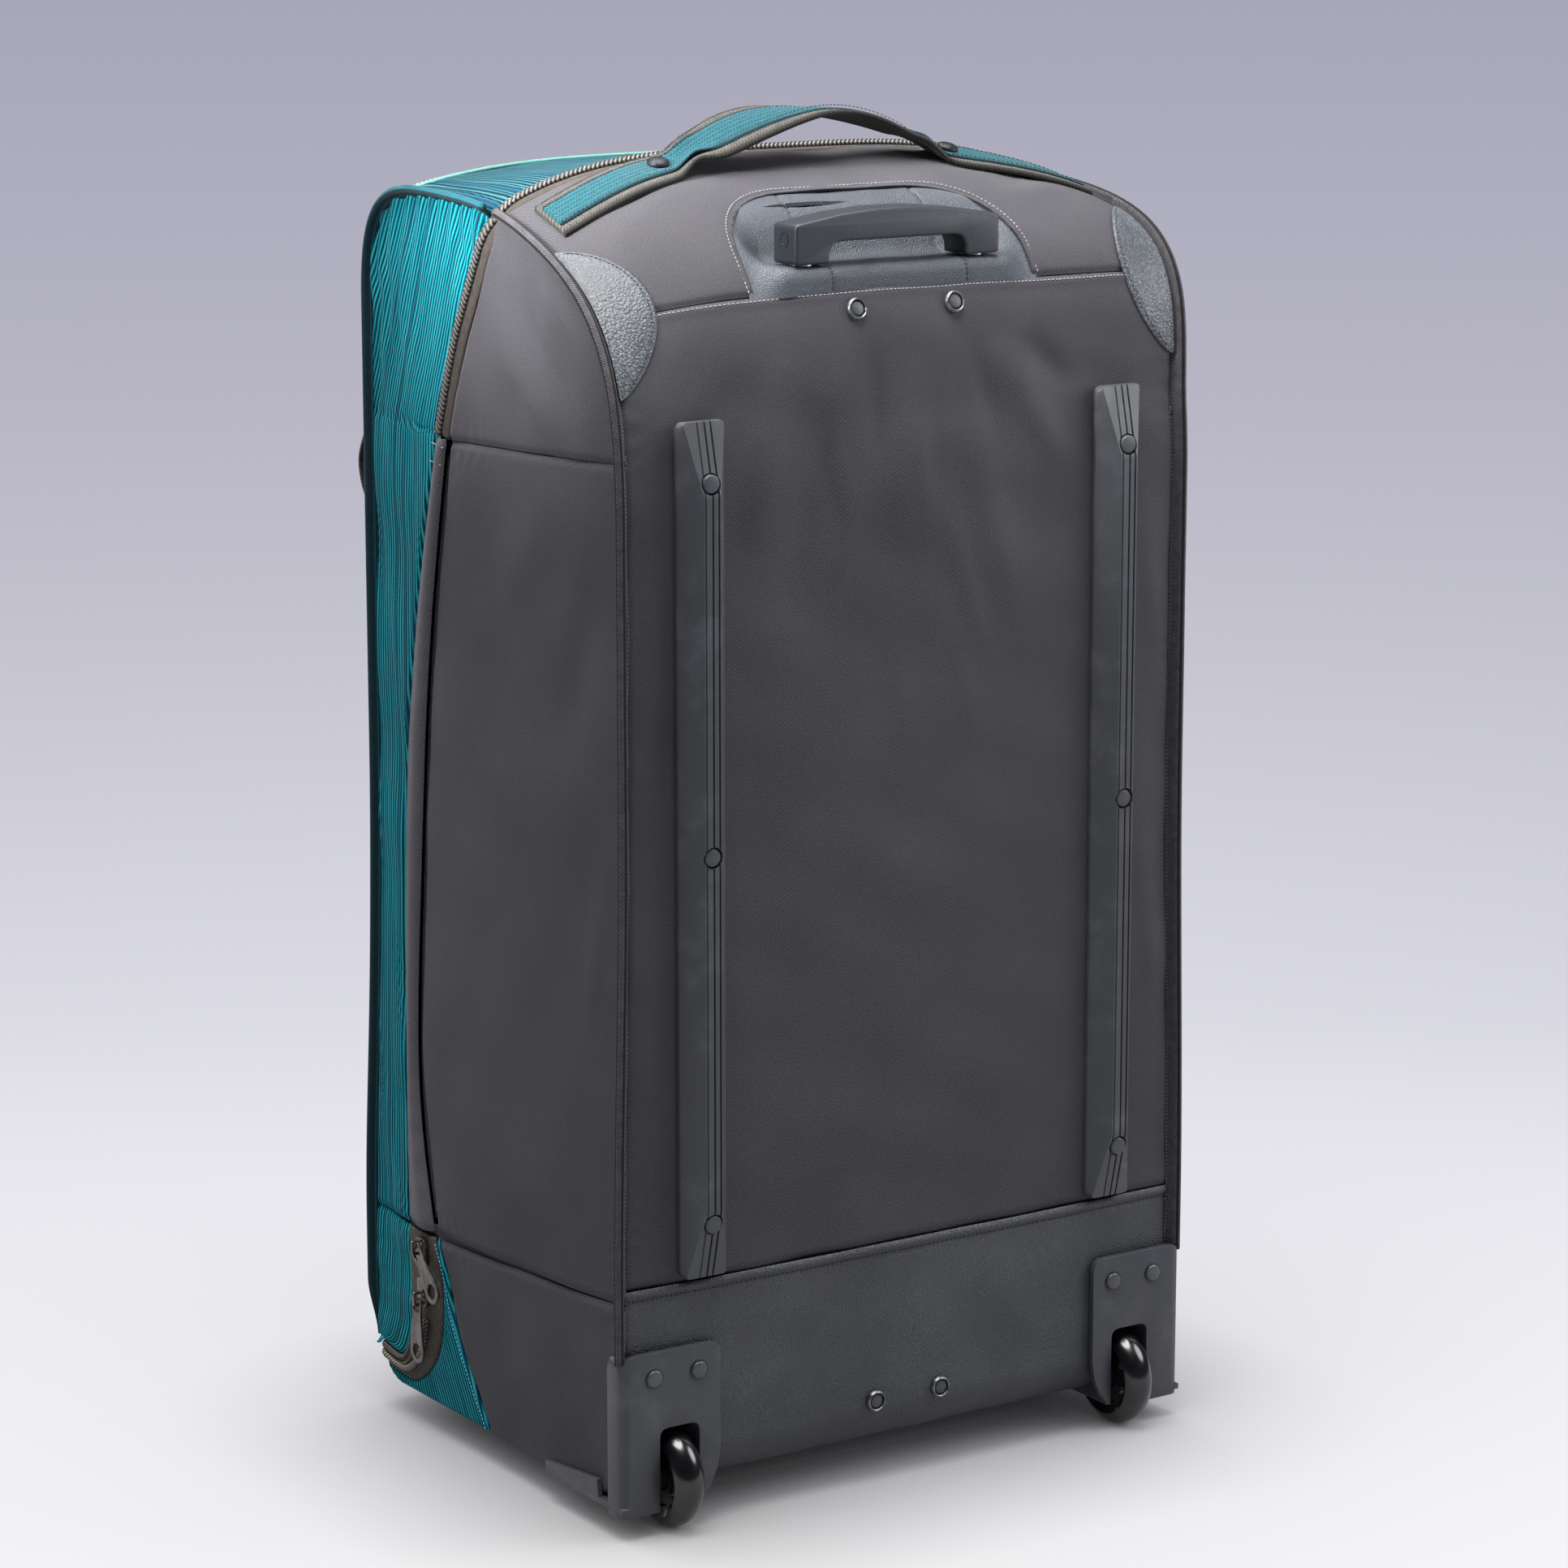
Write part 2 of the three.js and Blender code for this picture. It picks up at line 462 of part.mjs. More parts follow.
const backRim = (z) => reach((p) => p.z >= z);
const frontRim = (z) => reach((p) => p.z <= z, S_FRONT);
const S_HEEL = reach((p) => p.y <= BACK_Y + HEEL_R);
const S_BAND_TOE = reach((p) => p.z <= LOW_ZIP_Z[1], S_FRONT);
const S_TOE_END = reach((p) => p.y <= TOE_Y - TOE_R, S_FRONT);
const halfZip = ZIP_WIDTH / 2 + GAP;
const [ZIP_ROWS, FLAP_ROWS, LOW_ROWS] = [8, 10, 8]; // rows of panel along each zip edge
for (const [label, side] of SIDES) {
  const upperBack = rimEdge(backRim(SIDE_SEAM.back + GAP), S_ZIP_BACK - GAP);
  const upper = sidePanel(side, ZIP_ROWS, 5, (a) => beside(ZIP_EDGE, a, -halfZip), upperBack);
  add(`side_upper_${label}`, upper, GREY_CLOTH);

  const middleBack = rimEdge(backRim(SIDE_SEAM.lowBack), backRim(SIDE_SEAM.back));
  const middle = sidePanel(side, FLAP_ROWS, 5, (a) => beside(FLAP_BACK, a, -GAP), middleBack);
  add(`side_middle_${label}`, middle, GREY_CLOTH);

  const lowerBack = rimEdge(backRim(SIDE_SEAM.lowBack - GAP), S_HEEL);
  const lower = sidePanel(side, 8, 3, (a) => beside(WEDGE_SEAM, a, 0.8), lowerBack);
  add(`side_lower_${label}`, lower, GREY_CLOTH);

  const flap = sidePanel(side, FLAP_ROWS, 1, (a) => beside(FLAP_FRONT, a), (a) => beside(FLAP_BACK, a));
  add(`zip_flap_${label}`, flap, GREY_CLOTH);

  // The lid's side runs from the top zip down its flap and on inside the low zip.
  const lidFront = rimEdge(S_ZIP_FRONT + 2, frontRim(139));
  const turn = ZIP_ROWS / (ZIP_ROWS + FLAP_ROWS);
  const lidBack = (a) =>
    a < turn ? beside(ZIP_EDGE, 1 - a / turn, halfZip) : beside(FLAP_FRONT, (1 - a) / (1 - turn), GAP);
  add(`lid_side_${label}`, sidePanel(side, ZIP_ROWS + FLAP_ROWS, 3, lidFront, lidBack), TEAL_CLOTH);

  const cornerFront = rimEdge(frontRim(139 - GAP), S_LOW_ZIP[0]);
  const corner = sidePanel(side, LOW_ROWS, 2, cornerFront, (a) => beside(LOW_INNER, a));
  add(`lid_corner_${label}`, corner, TEAL_CLOTH);

  // Below the low zip a teal wedge runs back to the grey lower side.
  const toe = rimEdge(S_BAND_TOE, S_TOE_END);
  const wedgeBack = (a) => {
    if (a < 0.5) return beside(WEDGE_SEAM, a / 0.5);
    const end = toe(1);
    return [mix(WEDGE_SEAM.getPoint(1).x, end[0], (a - 0.5) / 0.5), BOTTOM_Z];
  };
  const wedge = sidePanel(side, LOW_ROWS, 2, (a) => beside(LOW_OUTER, a), wedgeBack);
  add(`base_wedge_${label}`, wedge, TEAL_CLOTH);
}

// Piping: a cord under cloth, seated on the rim. Stations crowd where the rim turns.
const PIPING_R = 3.2;
const PIPING_SIDES = 5;
function rimTube(side, s0, s1) {
  const rings = [];
  const seat = (PIPING_R + 0.8) / Math.SQRT2;
  for (let s = s0; s < s1; ) {
    const r = rimAt(s);
    const centre = v3(side * (halfWidth(r.z) + seat), r.y + r.ny * seat, r.z + r.nz * seat);
    const ring = [];
    for (let k = 0; k < PIPING_SIDES; k++) {
      const angle = (2 * Math.PI * k) / PIPING_SIDES;
      const out = PIPING_R * Math.sin(angle);
      ring.push(settle(centre.clone().add(v3(side * PIPING_R * Math.cos(angle), r.ny * out, r.nz * out))));
    }
    rings.push(ring);
    const next = rimAt(Math.min(s + 12, s1));
    s += next.ny * r.ny + next.nz * r.nz > 0.9995 ? 60 : 14;
  }
  return loft(rings);
}
for (const [label, side] of SIDES) {
  add(`back_piping_${label}`, rimTube(side, backRim(BRACKET.top + 3), S_ZIP_BACK), PIPING);
  add(`lid_piping_${label}`, rimTube(side, S_ZIP_FRONT, frontRim(60)), TEAL_PIPING);
}

// Zips: a tape that lies in the slot between panels, and a chain of teeth on it.
// Each station has a point on the cloth's face, the way across the tape and the way out.
const S_ZIP = (S_ZIP_BACK + S_ZIP_FRONT) / 2;
const topOut = rimAt(S_ZIP);
const topStation = (u) => ({
  p: wrapPoint(-u, S_ZIP),
  across: v3(0, topOut.nz, -topOut.ny),
  out: v3(0, topOut.ny, topOut.nz),
});
function topZipStations() {
  const half = [];
  for (let i = 0; i < ZIP_ROWS; i++) {
    const [spot, run] = [beside(ZIP_EDGE, i / ZIP_ROWS), ZIP_EDGE.getTangent(i / ZIP_ROWS)];
    half.push({ p: sidePoint(-1, spot), across: v3(0, run.y, -run.x), out: v3(-1, 0, 0) });
  }
  const onSide = half[half.length - 1];
  const last = beside(ZIP_EDGE, 0.97);
  half.push({ ...onSide, p: sidePoint(-1, last) });
  for (const { u, turn } of [{ u: 0.992, turn: 0.5 }, { u: 0.955, turn: 0.9 }]) {
    const { p, across: way, out } = topStation(u);
    const blend = (a, b) => a.clone().lerp(b, turn).normalize();
    half.push({ p, across: blend(onSide.across, way).multiplyScalar(0.85), out: blend(onSide.out, out) });
  }
  return [...half, ...[0.88, 0.77, 0.62, 0.42, 0.2].map(topStation)];
}
function mirrorStation({ p, across: way, out }) {
  const flip = (v) => v.clone().multiply(v3(-1, 1, 1));
  return { p: flip(p), across: flip(way), out: flip(out) };
}
const topHalf = topZipStations();
const topZip = [...topHalf, topStation(0), ...topHalf.map(mirrorStation).reverse()];
function zipStrip(stations, near, far, low, thick) {
  const row = ({ p, across: way, out }) => {
    const base = p.clone().addScaledVector(out, low);
    const edge = (d) => settle(base.clone().addScaledVector(way, d));
    return { line: [edge(near), edge(far)], n: out };
  };
  return ribbon(stations.map(row), thick);
}
add('main_zip_tape', zipStrip(topZip, -ZIP_WIDTH / 2, ZIP_WIDTH / 2, -2.6, 1.5), TAPE);
add('main_zip_chain', zipStrip(topZip, 0.5, 7, -0.1, 2.6), TEETH);

// The low zip: its tape is wide beside the sliders and narrow round the front.
const TOE_TILT = Math.PI / 6; // how far the front's foot has turned under at the low zip
function lowStation(u) {
  const out = v3(0, Math.cos(TOE_TILT), -Math.sin(TOE_TILT));
  return { inner: wrapPoint(u, S_LOW_ZIP[0] + 0.5), outer: wrapPoint(u, S_LOW_ZIP[1] - 1.7), out };
}
function lowZipRows(side) {
  const rows = [];
  for (let i = 0; i <= LOW_ROWS; i++) {
    const [inner, outer] = [beside(LOW_INNER, i / LOW_ROWS, GAP), beside(LOW_OUTER, i / LOW_ROWS, -GAP)];
    rows.push({ inner: sidePoint(side, inner), outer: sidePoint(side, outer), out: v3(side, 0, 0) });
  }
  const onSide = rows[rows.length - 1];
  for (const { u, turn } of [{ u: 0.985, turn: 0.5 }, { u: 0.95, turn: 0.9 }]) {
    const { inner, outer, out } = lowStation(side * u);
    rows.push({ inner, outer, out: onSide.out.clone().lerp(out, turn).normalize() });
  }
  return [...rows, ...[0.85, 0.7, 0.4].map((u) => lowStation(side * u))];
}
const lowZip = [...lowZipRows(-1), lowStation(0), ...lowZipRows(1).reverse()];
function lowStrip(rows, near, far, low, thick) {
  const row = ({ inner, outer, out }) => {
    const base = (share) => inner.clone().lerp(outer, share).addScaledVector(out, low);
    return { line: [base(near), base(far)], n: out };
  };
  return ribbon(rows.map(row), thick);
}
const chainRow = ({ inner, outer, out }) => {
  const middle = inner.clone().lerp(outer, 0.52);
  const way = outer.clone().sub(inner).normalize();
  const edge = (d) => middle.clone().addScaledVector(way, d);
  return { inner: edge(-3), outer: edge(3), out };
};
add('low_zip_tape', lowStrip(lowZip, 0, 1, -1.6, 1.6), TAPE);
add('low_zip_chain', lowStrip(lowZip.slice(4).map(chainRow), 0, 1, 1.5, 2.4), TEETH);

// Sliders on the left, each with a bridge, and the pull tabs that hang through the bridges.
// They are drawn with x standing out from the cloth and y towards the back.
const SLIDER = { y: 241, base: 3.2, half: 10, width: 6, pivot: 6.6 };
const BRIDGE = { half: 1.2, high: 9.5, roof: 1.5, leg: 2, span: 5 };
const PULLS = [
  { label: 'upper', z: 124, bridge: 4, lean: 42, length: 41 },
  { label: 'lower', z: 97, bridge: -4, lean: 0, length: 44 },
];
const TAB = { thick: 1.6, eye: 4.2, wall: 1.9, eyeLong: 8.5, bar: 1, neck: 5.2, end: 8.4, hole: 5.4 };
function sliderShape(bridge) {
  const outline = roundRect(-SLIDER.width, SLIDER.width, -SLIDER.half, SLIDER.half, 4);
  const base = extrude(outline, SLIDER.base, 3).rotateX(Math.PI / 2).rotateZ(Math.PI / 2);
  const arch = roundRect(-BRIDGE.span, BRIDGE.span, -4, BRIDGE.high, 2);
  const reachIn = BRIDGE.span - BRIDGE.leg;
  const eye = roundRect(-reachIn, reachIn, SLIDER.base - 1, BRIDGE.high - BRIDGE.roof, 1);
  arch.holes.push(eye);
  const bow = extrude(arch, 2 * BRIDGE.half, 3).translate(0, 0, -BRIDGE.half);
  const turn = new THREE.Matrix4().makeBasis(v3(0, 0, 1), v3(1, 0, 0), v3(0, 1, 0));
  const stood = bow.applyMatrix4(turn).translate(0, 0, bridge);
  return join(base, overlap(stood, block([1, 20], [-9, 9], [-20, 20])));
}
function tabShape(length) {
  const shape = new THREE.Shape();
  const head = TAB.eye + TAB.wall;
  shape.moveTo(-head, 0);
  shape.quadraticCurveTo(-head, TAB.bar, TAB.bar - head, TAB.bar).lineTo(head - TAB.bar, TAB.bar);
  shape.quadraticCurveTo(head, TAB.bar, head, 0);
  shape.lineTo(TAB.neck, -TAB.eyeLong - 4).lineTo(TAB.end, TAB.end - length);
  shape.absarc(0, TAB.end - length, TAB.end, 0, -Math.PI, true);
  shape.lineTo(-TAB.neck, -TAB.eyeLong - 4).lineTo(-head, 0);
  shape.holes.push(roundRect(-TAB.eye, TAB.eye, -TAB.eyeLong, -TAB.bar, 1));
  const end = new THREE.Path();
  end.absarc(0, TAB.end - length, TAB.hole, 0, 2 * Math.PI, false);
  shape.holes.push(end);
  const plate = extrude(shape, TAB.thick, 4).translate(0, 0, -TAB.thick / 2);
  return plate.applyMatrix4(new THREE.Matrix4().makeBasis(v3(0, 1, 0), v3(0, 0, 1), v3(1, 0, 0)));
}
for (const { label, z, bridge, lean, length } of PULLS) {
  const onCloth = sidePoint(-1, [SLIDER.y, z + SLIDER.half]);
  const place = new THREE.Group();
  place.position.set(onCloth.x - 0.4, onCloth.y, z);
  place.rotation.z = Math.PI;
  bag.add(place);
  add(`slider_${label}`, sliderShape(bridge), GUNMETAL, place);
  const hang = new THREE.Group();
  hang.position.set(SLIDER.pivot, 0, bridge);
  hang.rotation.x = THREE.MathUtils.degToRad(lean);
  place.add(hang);
  add(`pull_tab_${label}`, tabShape(length), GUNMETAL, hang);
}

// Top carry handle: grey webbing sewn flat to the top at both ends, with a teal stripe on it.
function handleRows(half, lift) {
  const rows = [];
  const xs = [192, 181, 168, 152, 134, 116, 104, 97, 76, 48, 16];
  for (const x of [...xs.map((d) => -d), ...xs.slice().reverse()]) {
    const away = Math.abs(x);
    const y = mix(HANDLE.y, HANDLE.endY, ease(away, HANDLE.arch, HANDLE.endX));
    const share = Math.max(0, 1 - (x / HANDLE.arch) ** 2); // the arch levels out as it rises
    const onTop = (d) => settle(wrapWhere(x, 'y', y + d, S_TOP_SEAM, S_ZIP_BACK).point);
    const edge = (d) => {
      const spot = onTop(d);
      return spot.setZ(mix(spot.z, onTop(0).z, share) + HANDLE.rise * share + lift);
    };
    rows.push({ line: [edge(-half), edge(0), edge(half)], n: v3(0, 0, 1) });
  }
  return rows;
}
add('carry_handle', ribbon(handleRows(HANDLE.half, HANDLE.lift), WEBBING), GREY_WEB);
const stripeLift = HANDLE.lift + WEBBING + 0.9;
add('carry_stripe', ribbon(handleRows(STRIPE.half, stripeLift), STRIPE.thick), TEAL_WEB);

// Rivets: a domed head on a flat back, drawn standing along +Z.
function rivet(radius, high, dish) {
  const floor = high - dish;
  const profile = [
    [0, 0], [radius, 0], [radius, high * 0.6], [radius * 0.82, high], [radius * 0.6, floor], [0, floor],
  ];
  return new THREE.LatheGeometry(profile.map(([x, y]) => new THREE.Vector2(x, y)), 10).rotateX(Math.PI / 2);
}
function addRivet(name, geometry, point, normal) {
  const mesh = add(name, geometry, STEEL);
  mesh.position.copy(point);
  mesh.quaternion.setFromUnitVectors(v3(0, 0, 1), normal.clone().normalize());
}
const HANDLE_RIVET = { x: 109, r: 7, high: 2.4 };
const TROLLEY_RIVET = { r: 7.4, high: 2.4, dish: 0.9, top: { x: 36.4, z: 748 }, low: { x: 25, z: 55 } };
for (const [label, side] of SIDES) {
  const on = (x, y) => settle(wrapWhere(side * x, 'y', y, S_TOP_SEAM, S_ZIP_BACK).point);
  const [spot, reachOut] = [HANDLE_RIVET.x, 6];
  const alongX = on(spot + reachOut, HANDLE.y).sub(on(spot - reachOut, HANDLE.y)).multiplyScalar(side);
  const alongY = on(spot, HANDLE.y + reachOut).sub(on(spot, HANDLE.y - reachOut));
  const normal = alongX.cross(alongY);
  const seat = on(spot, HANDLE.y).add(v3(0, 0, stripeLift + STRIPE.thick + 0.6));
  addRivet(`handle_rivet_${label}`, rivet(HANDLE_RIVET.r, HANDLE_RIVET.high, 0), seat, normal);

  const top = wrapWhere(side * TROLLEY_RIVET.top.x, 'z', TROLLEY_RIVET.top.z, S_BASE_SEAM, S_TOP_SEAM);
  const run = settle(wrapPoint(top.u, top.s + 6)).sub(settle(wrapPoint(top.u, top.s - 6)));
  const topNormal = v3(1, 0, 0).cross(run).normalize();
  const head = rivet(TROLLEY_RIVET.r, TROLLEY_RIVET.high, TROLLEY_RIVET.dish);
  const topSeat = settle(top.point).addScaledVector(topNormal, 0.8);
  addRivet(`trolley_rivet_top_${label}`, head, topSeat, topNormal);

  const low = wrapWhere(side * TROLLEY_RIVET.low.x, 'z', TROLLEY_RIVET.low.z, 60, S_BASE_SEAM);
  addRivet(`trolley_rivet_low_${label}`, head, low.point.add(v3(0, -0.4, 0)), v3(0, -1, 0));
}

// Webbing grab straps down both edges of the lid: sewn at the ends, slack and bowed near the top.
const STRAP_BOW = [
  { z: 698, off: 0.8 }, { z: 684, off: 0.8 }, { z: 668, off: 7 }, { z: 650, off: 18 }, { z: 634, off: 25 },
  { z: 618, off: 22 }, { z: 602, off: 12 }, { z: 586, off: 6 }, { z: 560, off: 4 }, { z: 470, off: 4 },
  { z: 380, off: 4 }, { z: 300, off: 4 }, { z: 240, off: 4 }, { z: 200, off: 4 }, { z: 180, off: 2 },
  { z: 160, off: 0.8 },
];
for (const [label, side] of SIDES) {
  const rows = STRAP_BOW.map(({ z, off }) => {
    const edge = (x) => wrapWhere(side * x, 'z', z, S_FRONT - 40, S_LOW_ZIP[0]).point.add(v3(0, off, 0));
    return { line: [edge(SIDE_STRAP.near), edge(SIDE_STRAP.far)], n: v3(0, 1, 0) };
  });
  add(`grab_strap_${label}`, ribbon(rows, SIDE_STRAP.thick), GREY_WEB);
}

// Rails: moulded runners with sloping flanks, ramped at both ends, wells for their screws.
function railRing(x, z) {
  const toEnd = Math.min(RAIL.high - z, z - RAIL.low);
  const rise = mix(RAIL_RISE.end, RAIL_RISE.full, Math.min(1, toEnd / RAIL_RISE.ramp));
  const half = RAIL.half - Math.max(0, 4 - toEnd);
  const flank = (RAIL.half - RAIL.ridge) / (RAIL_RISE.full - RAIL.lip);
  const ridge = Math.min(half - 1, RAIL.ridge + (RAIL_RISE.full - rise) * flank);
  const outline = [
    [-half, 0], [half, 0], [half, RAIL.lip], [ridge, rise], [-ridge, rise], [-half, RAIL.lip],
  ];
  return outline.map(([dx, up]) => v3(x + dx, RAIL.baseY - up, z));
}
function screwWell(x, z) {
  const well = new THREE.CylinderGeometry(SCREW_WELL.r, SCREW_WELL.r, 2 * SCREW_WELL.depth, 12);
  return well.translate(x, RAIL.baseY - RAIL_RISE.full, z);
}
for (const [label, side] of SIDES) {
  const ends = [0, 2, 4, RAIL_RISE.ramp];
  const heights = [...ends.map((d) => RAIL.low + d), ...ends.map((d) => RAIL.high - d).reverse()];
  const bar = loft(heights.map((z) => railRing(side * RAIL.x, z)));
  add(`rail_${label}`, cut(bar, ...RAIL_SCREW_Z.map((z) => screwWell(side * RAIL.x, z))), MOULDED);
}

// Corner brackets: a back plate that wraps the corner, a lip under the bag, and a wheel well.
function bracketShape() {
  const { inner, outer, top, low, wall, face, lip, lipY } = BRACKET;
  const outline = new THREE.Shape();
  outline.moveTo(inner, 50);
  outline.lineTo(inner, top - 9).quadraticCurveTo(inner, top, inner + 9, top);
  outline.lineTo(outer - 10, top).quadraticCurveTo(outer, top, outer, top - 12);
  outline.lineTo(outer, low).lineTo(inner + 22, low).bezierCurveTo(inner + 10, low, inner, 34, inner, 50);
  const corner = new THREE.Shape();
  corner.moveTo(inner, face);
  corner.lineTo(outer - 7, face).quadraticCurveTo(outer, face, outer, face + 7);
  corner.lineTo(outer, lipY).lineTo(outer - lip, lipY);
  corner.lineTo(outer - lip, face + wall).lineTo(inner, face + wall);
  const plate = overlap(extrude(corner, top, 3), extrudeY(outline, face - 5, lipY + 5, 4));
  const under = block([inner + 12, outer], [face, 88], [low + 3, BOTTOM_Z - 0.4]);
  const upturn = new THREE.Shape();
  upturn.moveTo(24, low + 3);
  upturn.lineTo(88, low + 3).lineTo(88, low + 12).lineTo(26, low + 18);
  const onSide = new THREE.Matrix4().makeBasis(v3(0, 1, 0), v3(0, 0, 1), v3(1, 0, 0));
  const sideLip = extrude(upturn, lip).applyMatrix4(onSide).translate(outer - lip, 0, 0);
  const well = block([WHEEL.x - 18, WHEEL.x + 18], [face + wall - 0.1, 52], [low + 3, 76]);
  const slot = roundRect(WHEEL.x - SLOT.half, WHEEL.x + SLOT.half, -30, SLOT.top, SLOT.round);
  return cut(join(plate, under, sideLip, well), extrudeY(slot, -30, SLOT.deep, 3));
}

// Wheel: a rounded tyre on a dished hub, turned about its axle.
function wheelShape() {
  const half = WHEEL.width / 2;
  const profile = [
    [WHEEL.bore, -half], [9, -half], [12, -half + 4], [22, -half + 0.6], [29, -half + 3.4],
    [WHEEL.r, 0],
    [29, half - 3.4], [22, half - 0.6], [12, half - 4], [9, half], [WHEEL.bore, half], [WHEEL.bore, -half],
  ];
  const points = profile.map(([x, y]) => new THREE.Vector2(x, y));
  return new THREE.LatheGeometry(points, WHEEL.segments).rotateZ(Math.PI / 2);
}
const axleHalf = SLOT.half - GAP;
for (const [label, side] of SIDES) {
  add(`wheel_bracket_${label}`, side > 0 ? bracketShape() : mirrored(bracketShape()), MOULDED);
  const axle = new THREE.CylinderGeometry(AXLE_R, AXLE_R, 2 * axleHalf, 12).rotateZ(Math.PI / 2);
  add(`axle_${label}`, axle.translate(side * WHEEL.x, WHEEL.y, WHEEL.r), STEEL);
  add(`wheel_${label}`, wheelShape().translate(side * WHEEL.x, WHEEL.y, WHEEL.r), TYRE);
  const pad = roundRect(-FOOT.half, FOOT.half, -FOOT.depth / 2, FOOT.depth / 2, FOOT.round);
  const foot = extrude(pad, BOTTOM_Z - GAP, 3);
  add(`foot_${label}`, foot.translate(side * FOOT.x, FOOT.y, 0), MOULDED);
}

// Trolley guide: two fixed tubes held by a bridge at each end, behind the back panel.
function ringTube(outer, bore, [z0, z1], x) {
  const shape = new THREE.Shape();
  shape.absarc(0, 0, outer, 0, 2 * Math.PI, false);
  const hole = new THREE.Path();
  hole.absarc(0, 0, bore, 0, 2 * Math.PI, true);
  shape.holes.push(hole);
  return extrude(shape, z1 - z0, TUBE.sides / 2).translate(x, TUBE_Y, z0);
}
const guideBore = (side) => tubeRod(side, TUBE.bore, 900, 400);
const guideSpan = [-TUBE_X - 14, TUBE_X + 14];
const guideTop = block(guideSpan, [19.3, 26], [730, 752]);
const guideLow = block(guideSpan, [BACK_Y - CROWN.back + CLOTH + 0.5, 24], [62, 86]);
const guideTubes = SIDES.map(([, side]) => ringTube(TUBE.outer, TUBE.bore, GUIDE_Z, side * TUBE_X));
const guide = join(...guideTubes, guideTop, guideLow);
add('trolley_guide', cut(guide, guideBore(-1), guideBore(1)), ALLOY);

// Sliding trolley: two tubes and the moulded grip that bridges them.
for (const [label, side] of SIDES) {
  const wall = TUBE.inner - TUBE.innerWall;
  const tube = ringTube(TUBE.inner, wall, [INNER_FOOT_Z, GRIP.footZ - GAP], side * TUBE_X);
  add(`trolley_tube_${label}`, tube, ALLOY);
}
function gripShape() {
  const { halfLength, leg, backY, depth, footZ, endZ, topZ, bar } = GRIP;
  const shape = new THREE.Shape();
  shape.moveTo(-halfLength, footZ + 3);
  shape.quadraticCurveTo(-halfLength, footZ, 3 - halfLength, footZ).lineTo(leg - halfLength, footZ);
  const [inside, under] = [halfLength - leg, topZ - bar];
  shape.bezierCurveTo(-inside, under, 4 - inside, under, 14 - inside, under);
  shape.lineTo(inside - 14, under);
  shape.bezierCurveTo(inside - 4, under, inside, under, inside, footZ);
  shape.lineTo(halfLength - 3, footZ).quadraticCurveTo(halfLength, footZ, halfLength, footZ + 3);
  shape.lineTo(halfLength, endZ - 4).quadraticCurveTo(halfLength, endZ, halfLength - 5, endZ);
  shape.quadraticCurveTo(0, 2 * topZ - endZ, 5 - halfLength, endZ);
  shape.quadraticCurveTo(-halfLength, endZ, -halfLength, endZ - 4);
  return extrudeY(shape, backY, backY + depth, 5);
}
add('trolley_grip', gripShape(), MOULDED);

// Origin: under the middle of the whole bag, between the wheels' backs and the straps' bows.
const box = new THREE.Box3().setFromObject(bag);
bag.position.set(0, -(box.min.y + box.max.y) / 2, 0);

export default bag;
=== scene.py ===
import math

import bpy
import numpy as np
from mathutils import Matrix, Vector


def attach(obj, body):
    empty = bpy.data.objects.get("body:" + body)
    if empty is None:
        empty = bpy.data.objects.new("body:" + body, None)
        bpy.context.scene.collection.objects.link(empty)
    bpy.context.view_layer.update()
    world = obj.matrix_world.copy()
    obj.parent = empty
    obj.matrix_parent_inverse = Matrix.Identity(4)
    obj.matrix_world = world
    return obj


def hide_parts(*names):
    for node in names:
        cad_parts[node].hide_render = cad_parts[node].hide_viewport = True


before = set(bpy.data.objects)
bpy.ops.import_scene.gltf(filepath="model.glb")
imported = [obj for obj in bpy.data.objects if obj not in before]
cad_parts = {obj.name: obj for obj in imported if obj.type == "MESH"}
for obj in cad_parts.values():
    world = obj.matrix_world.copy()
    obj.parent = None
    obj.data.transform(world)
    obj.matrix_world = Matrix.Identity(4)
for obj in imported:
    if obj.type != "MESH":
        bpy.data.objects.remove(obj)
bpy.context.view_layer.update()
bpy.ops.object.select_all(action="DESELECT")

# Studio
# A pale floor that greys as it runs back, its glow darkened round the bag by a painted contact
# shadow, a lavender sky, a broad soft lamp overhead, weaker ones at the front, left and right, and
# the camera where the photograph was taken from.
scene = bpy.context.scene
scene.view_settings.view_transform = "Standard"


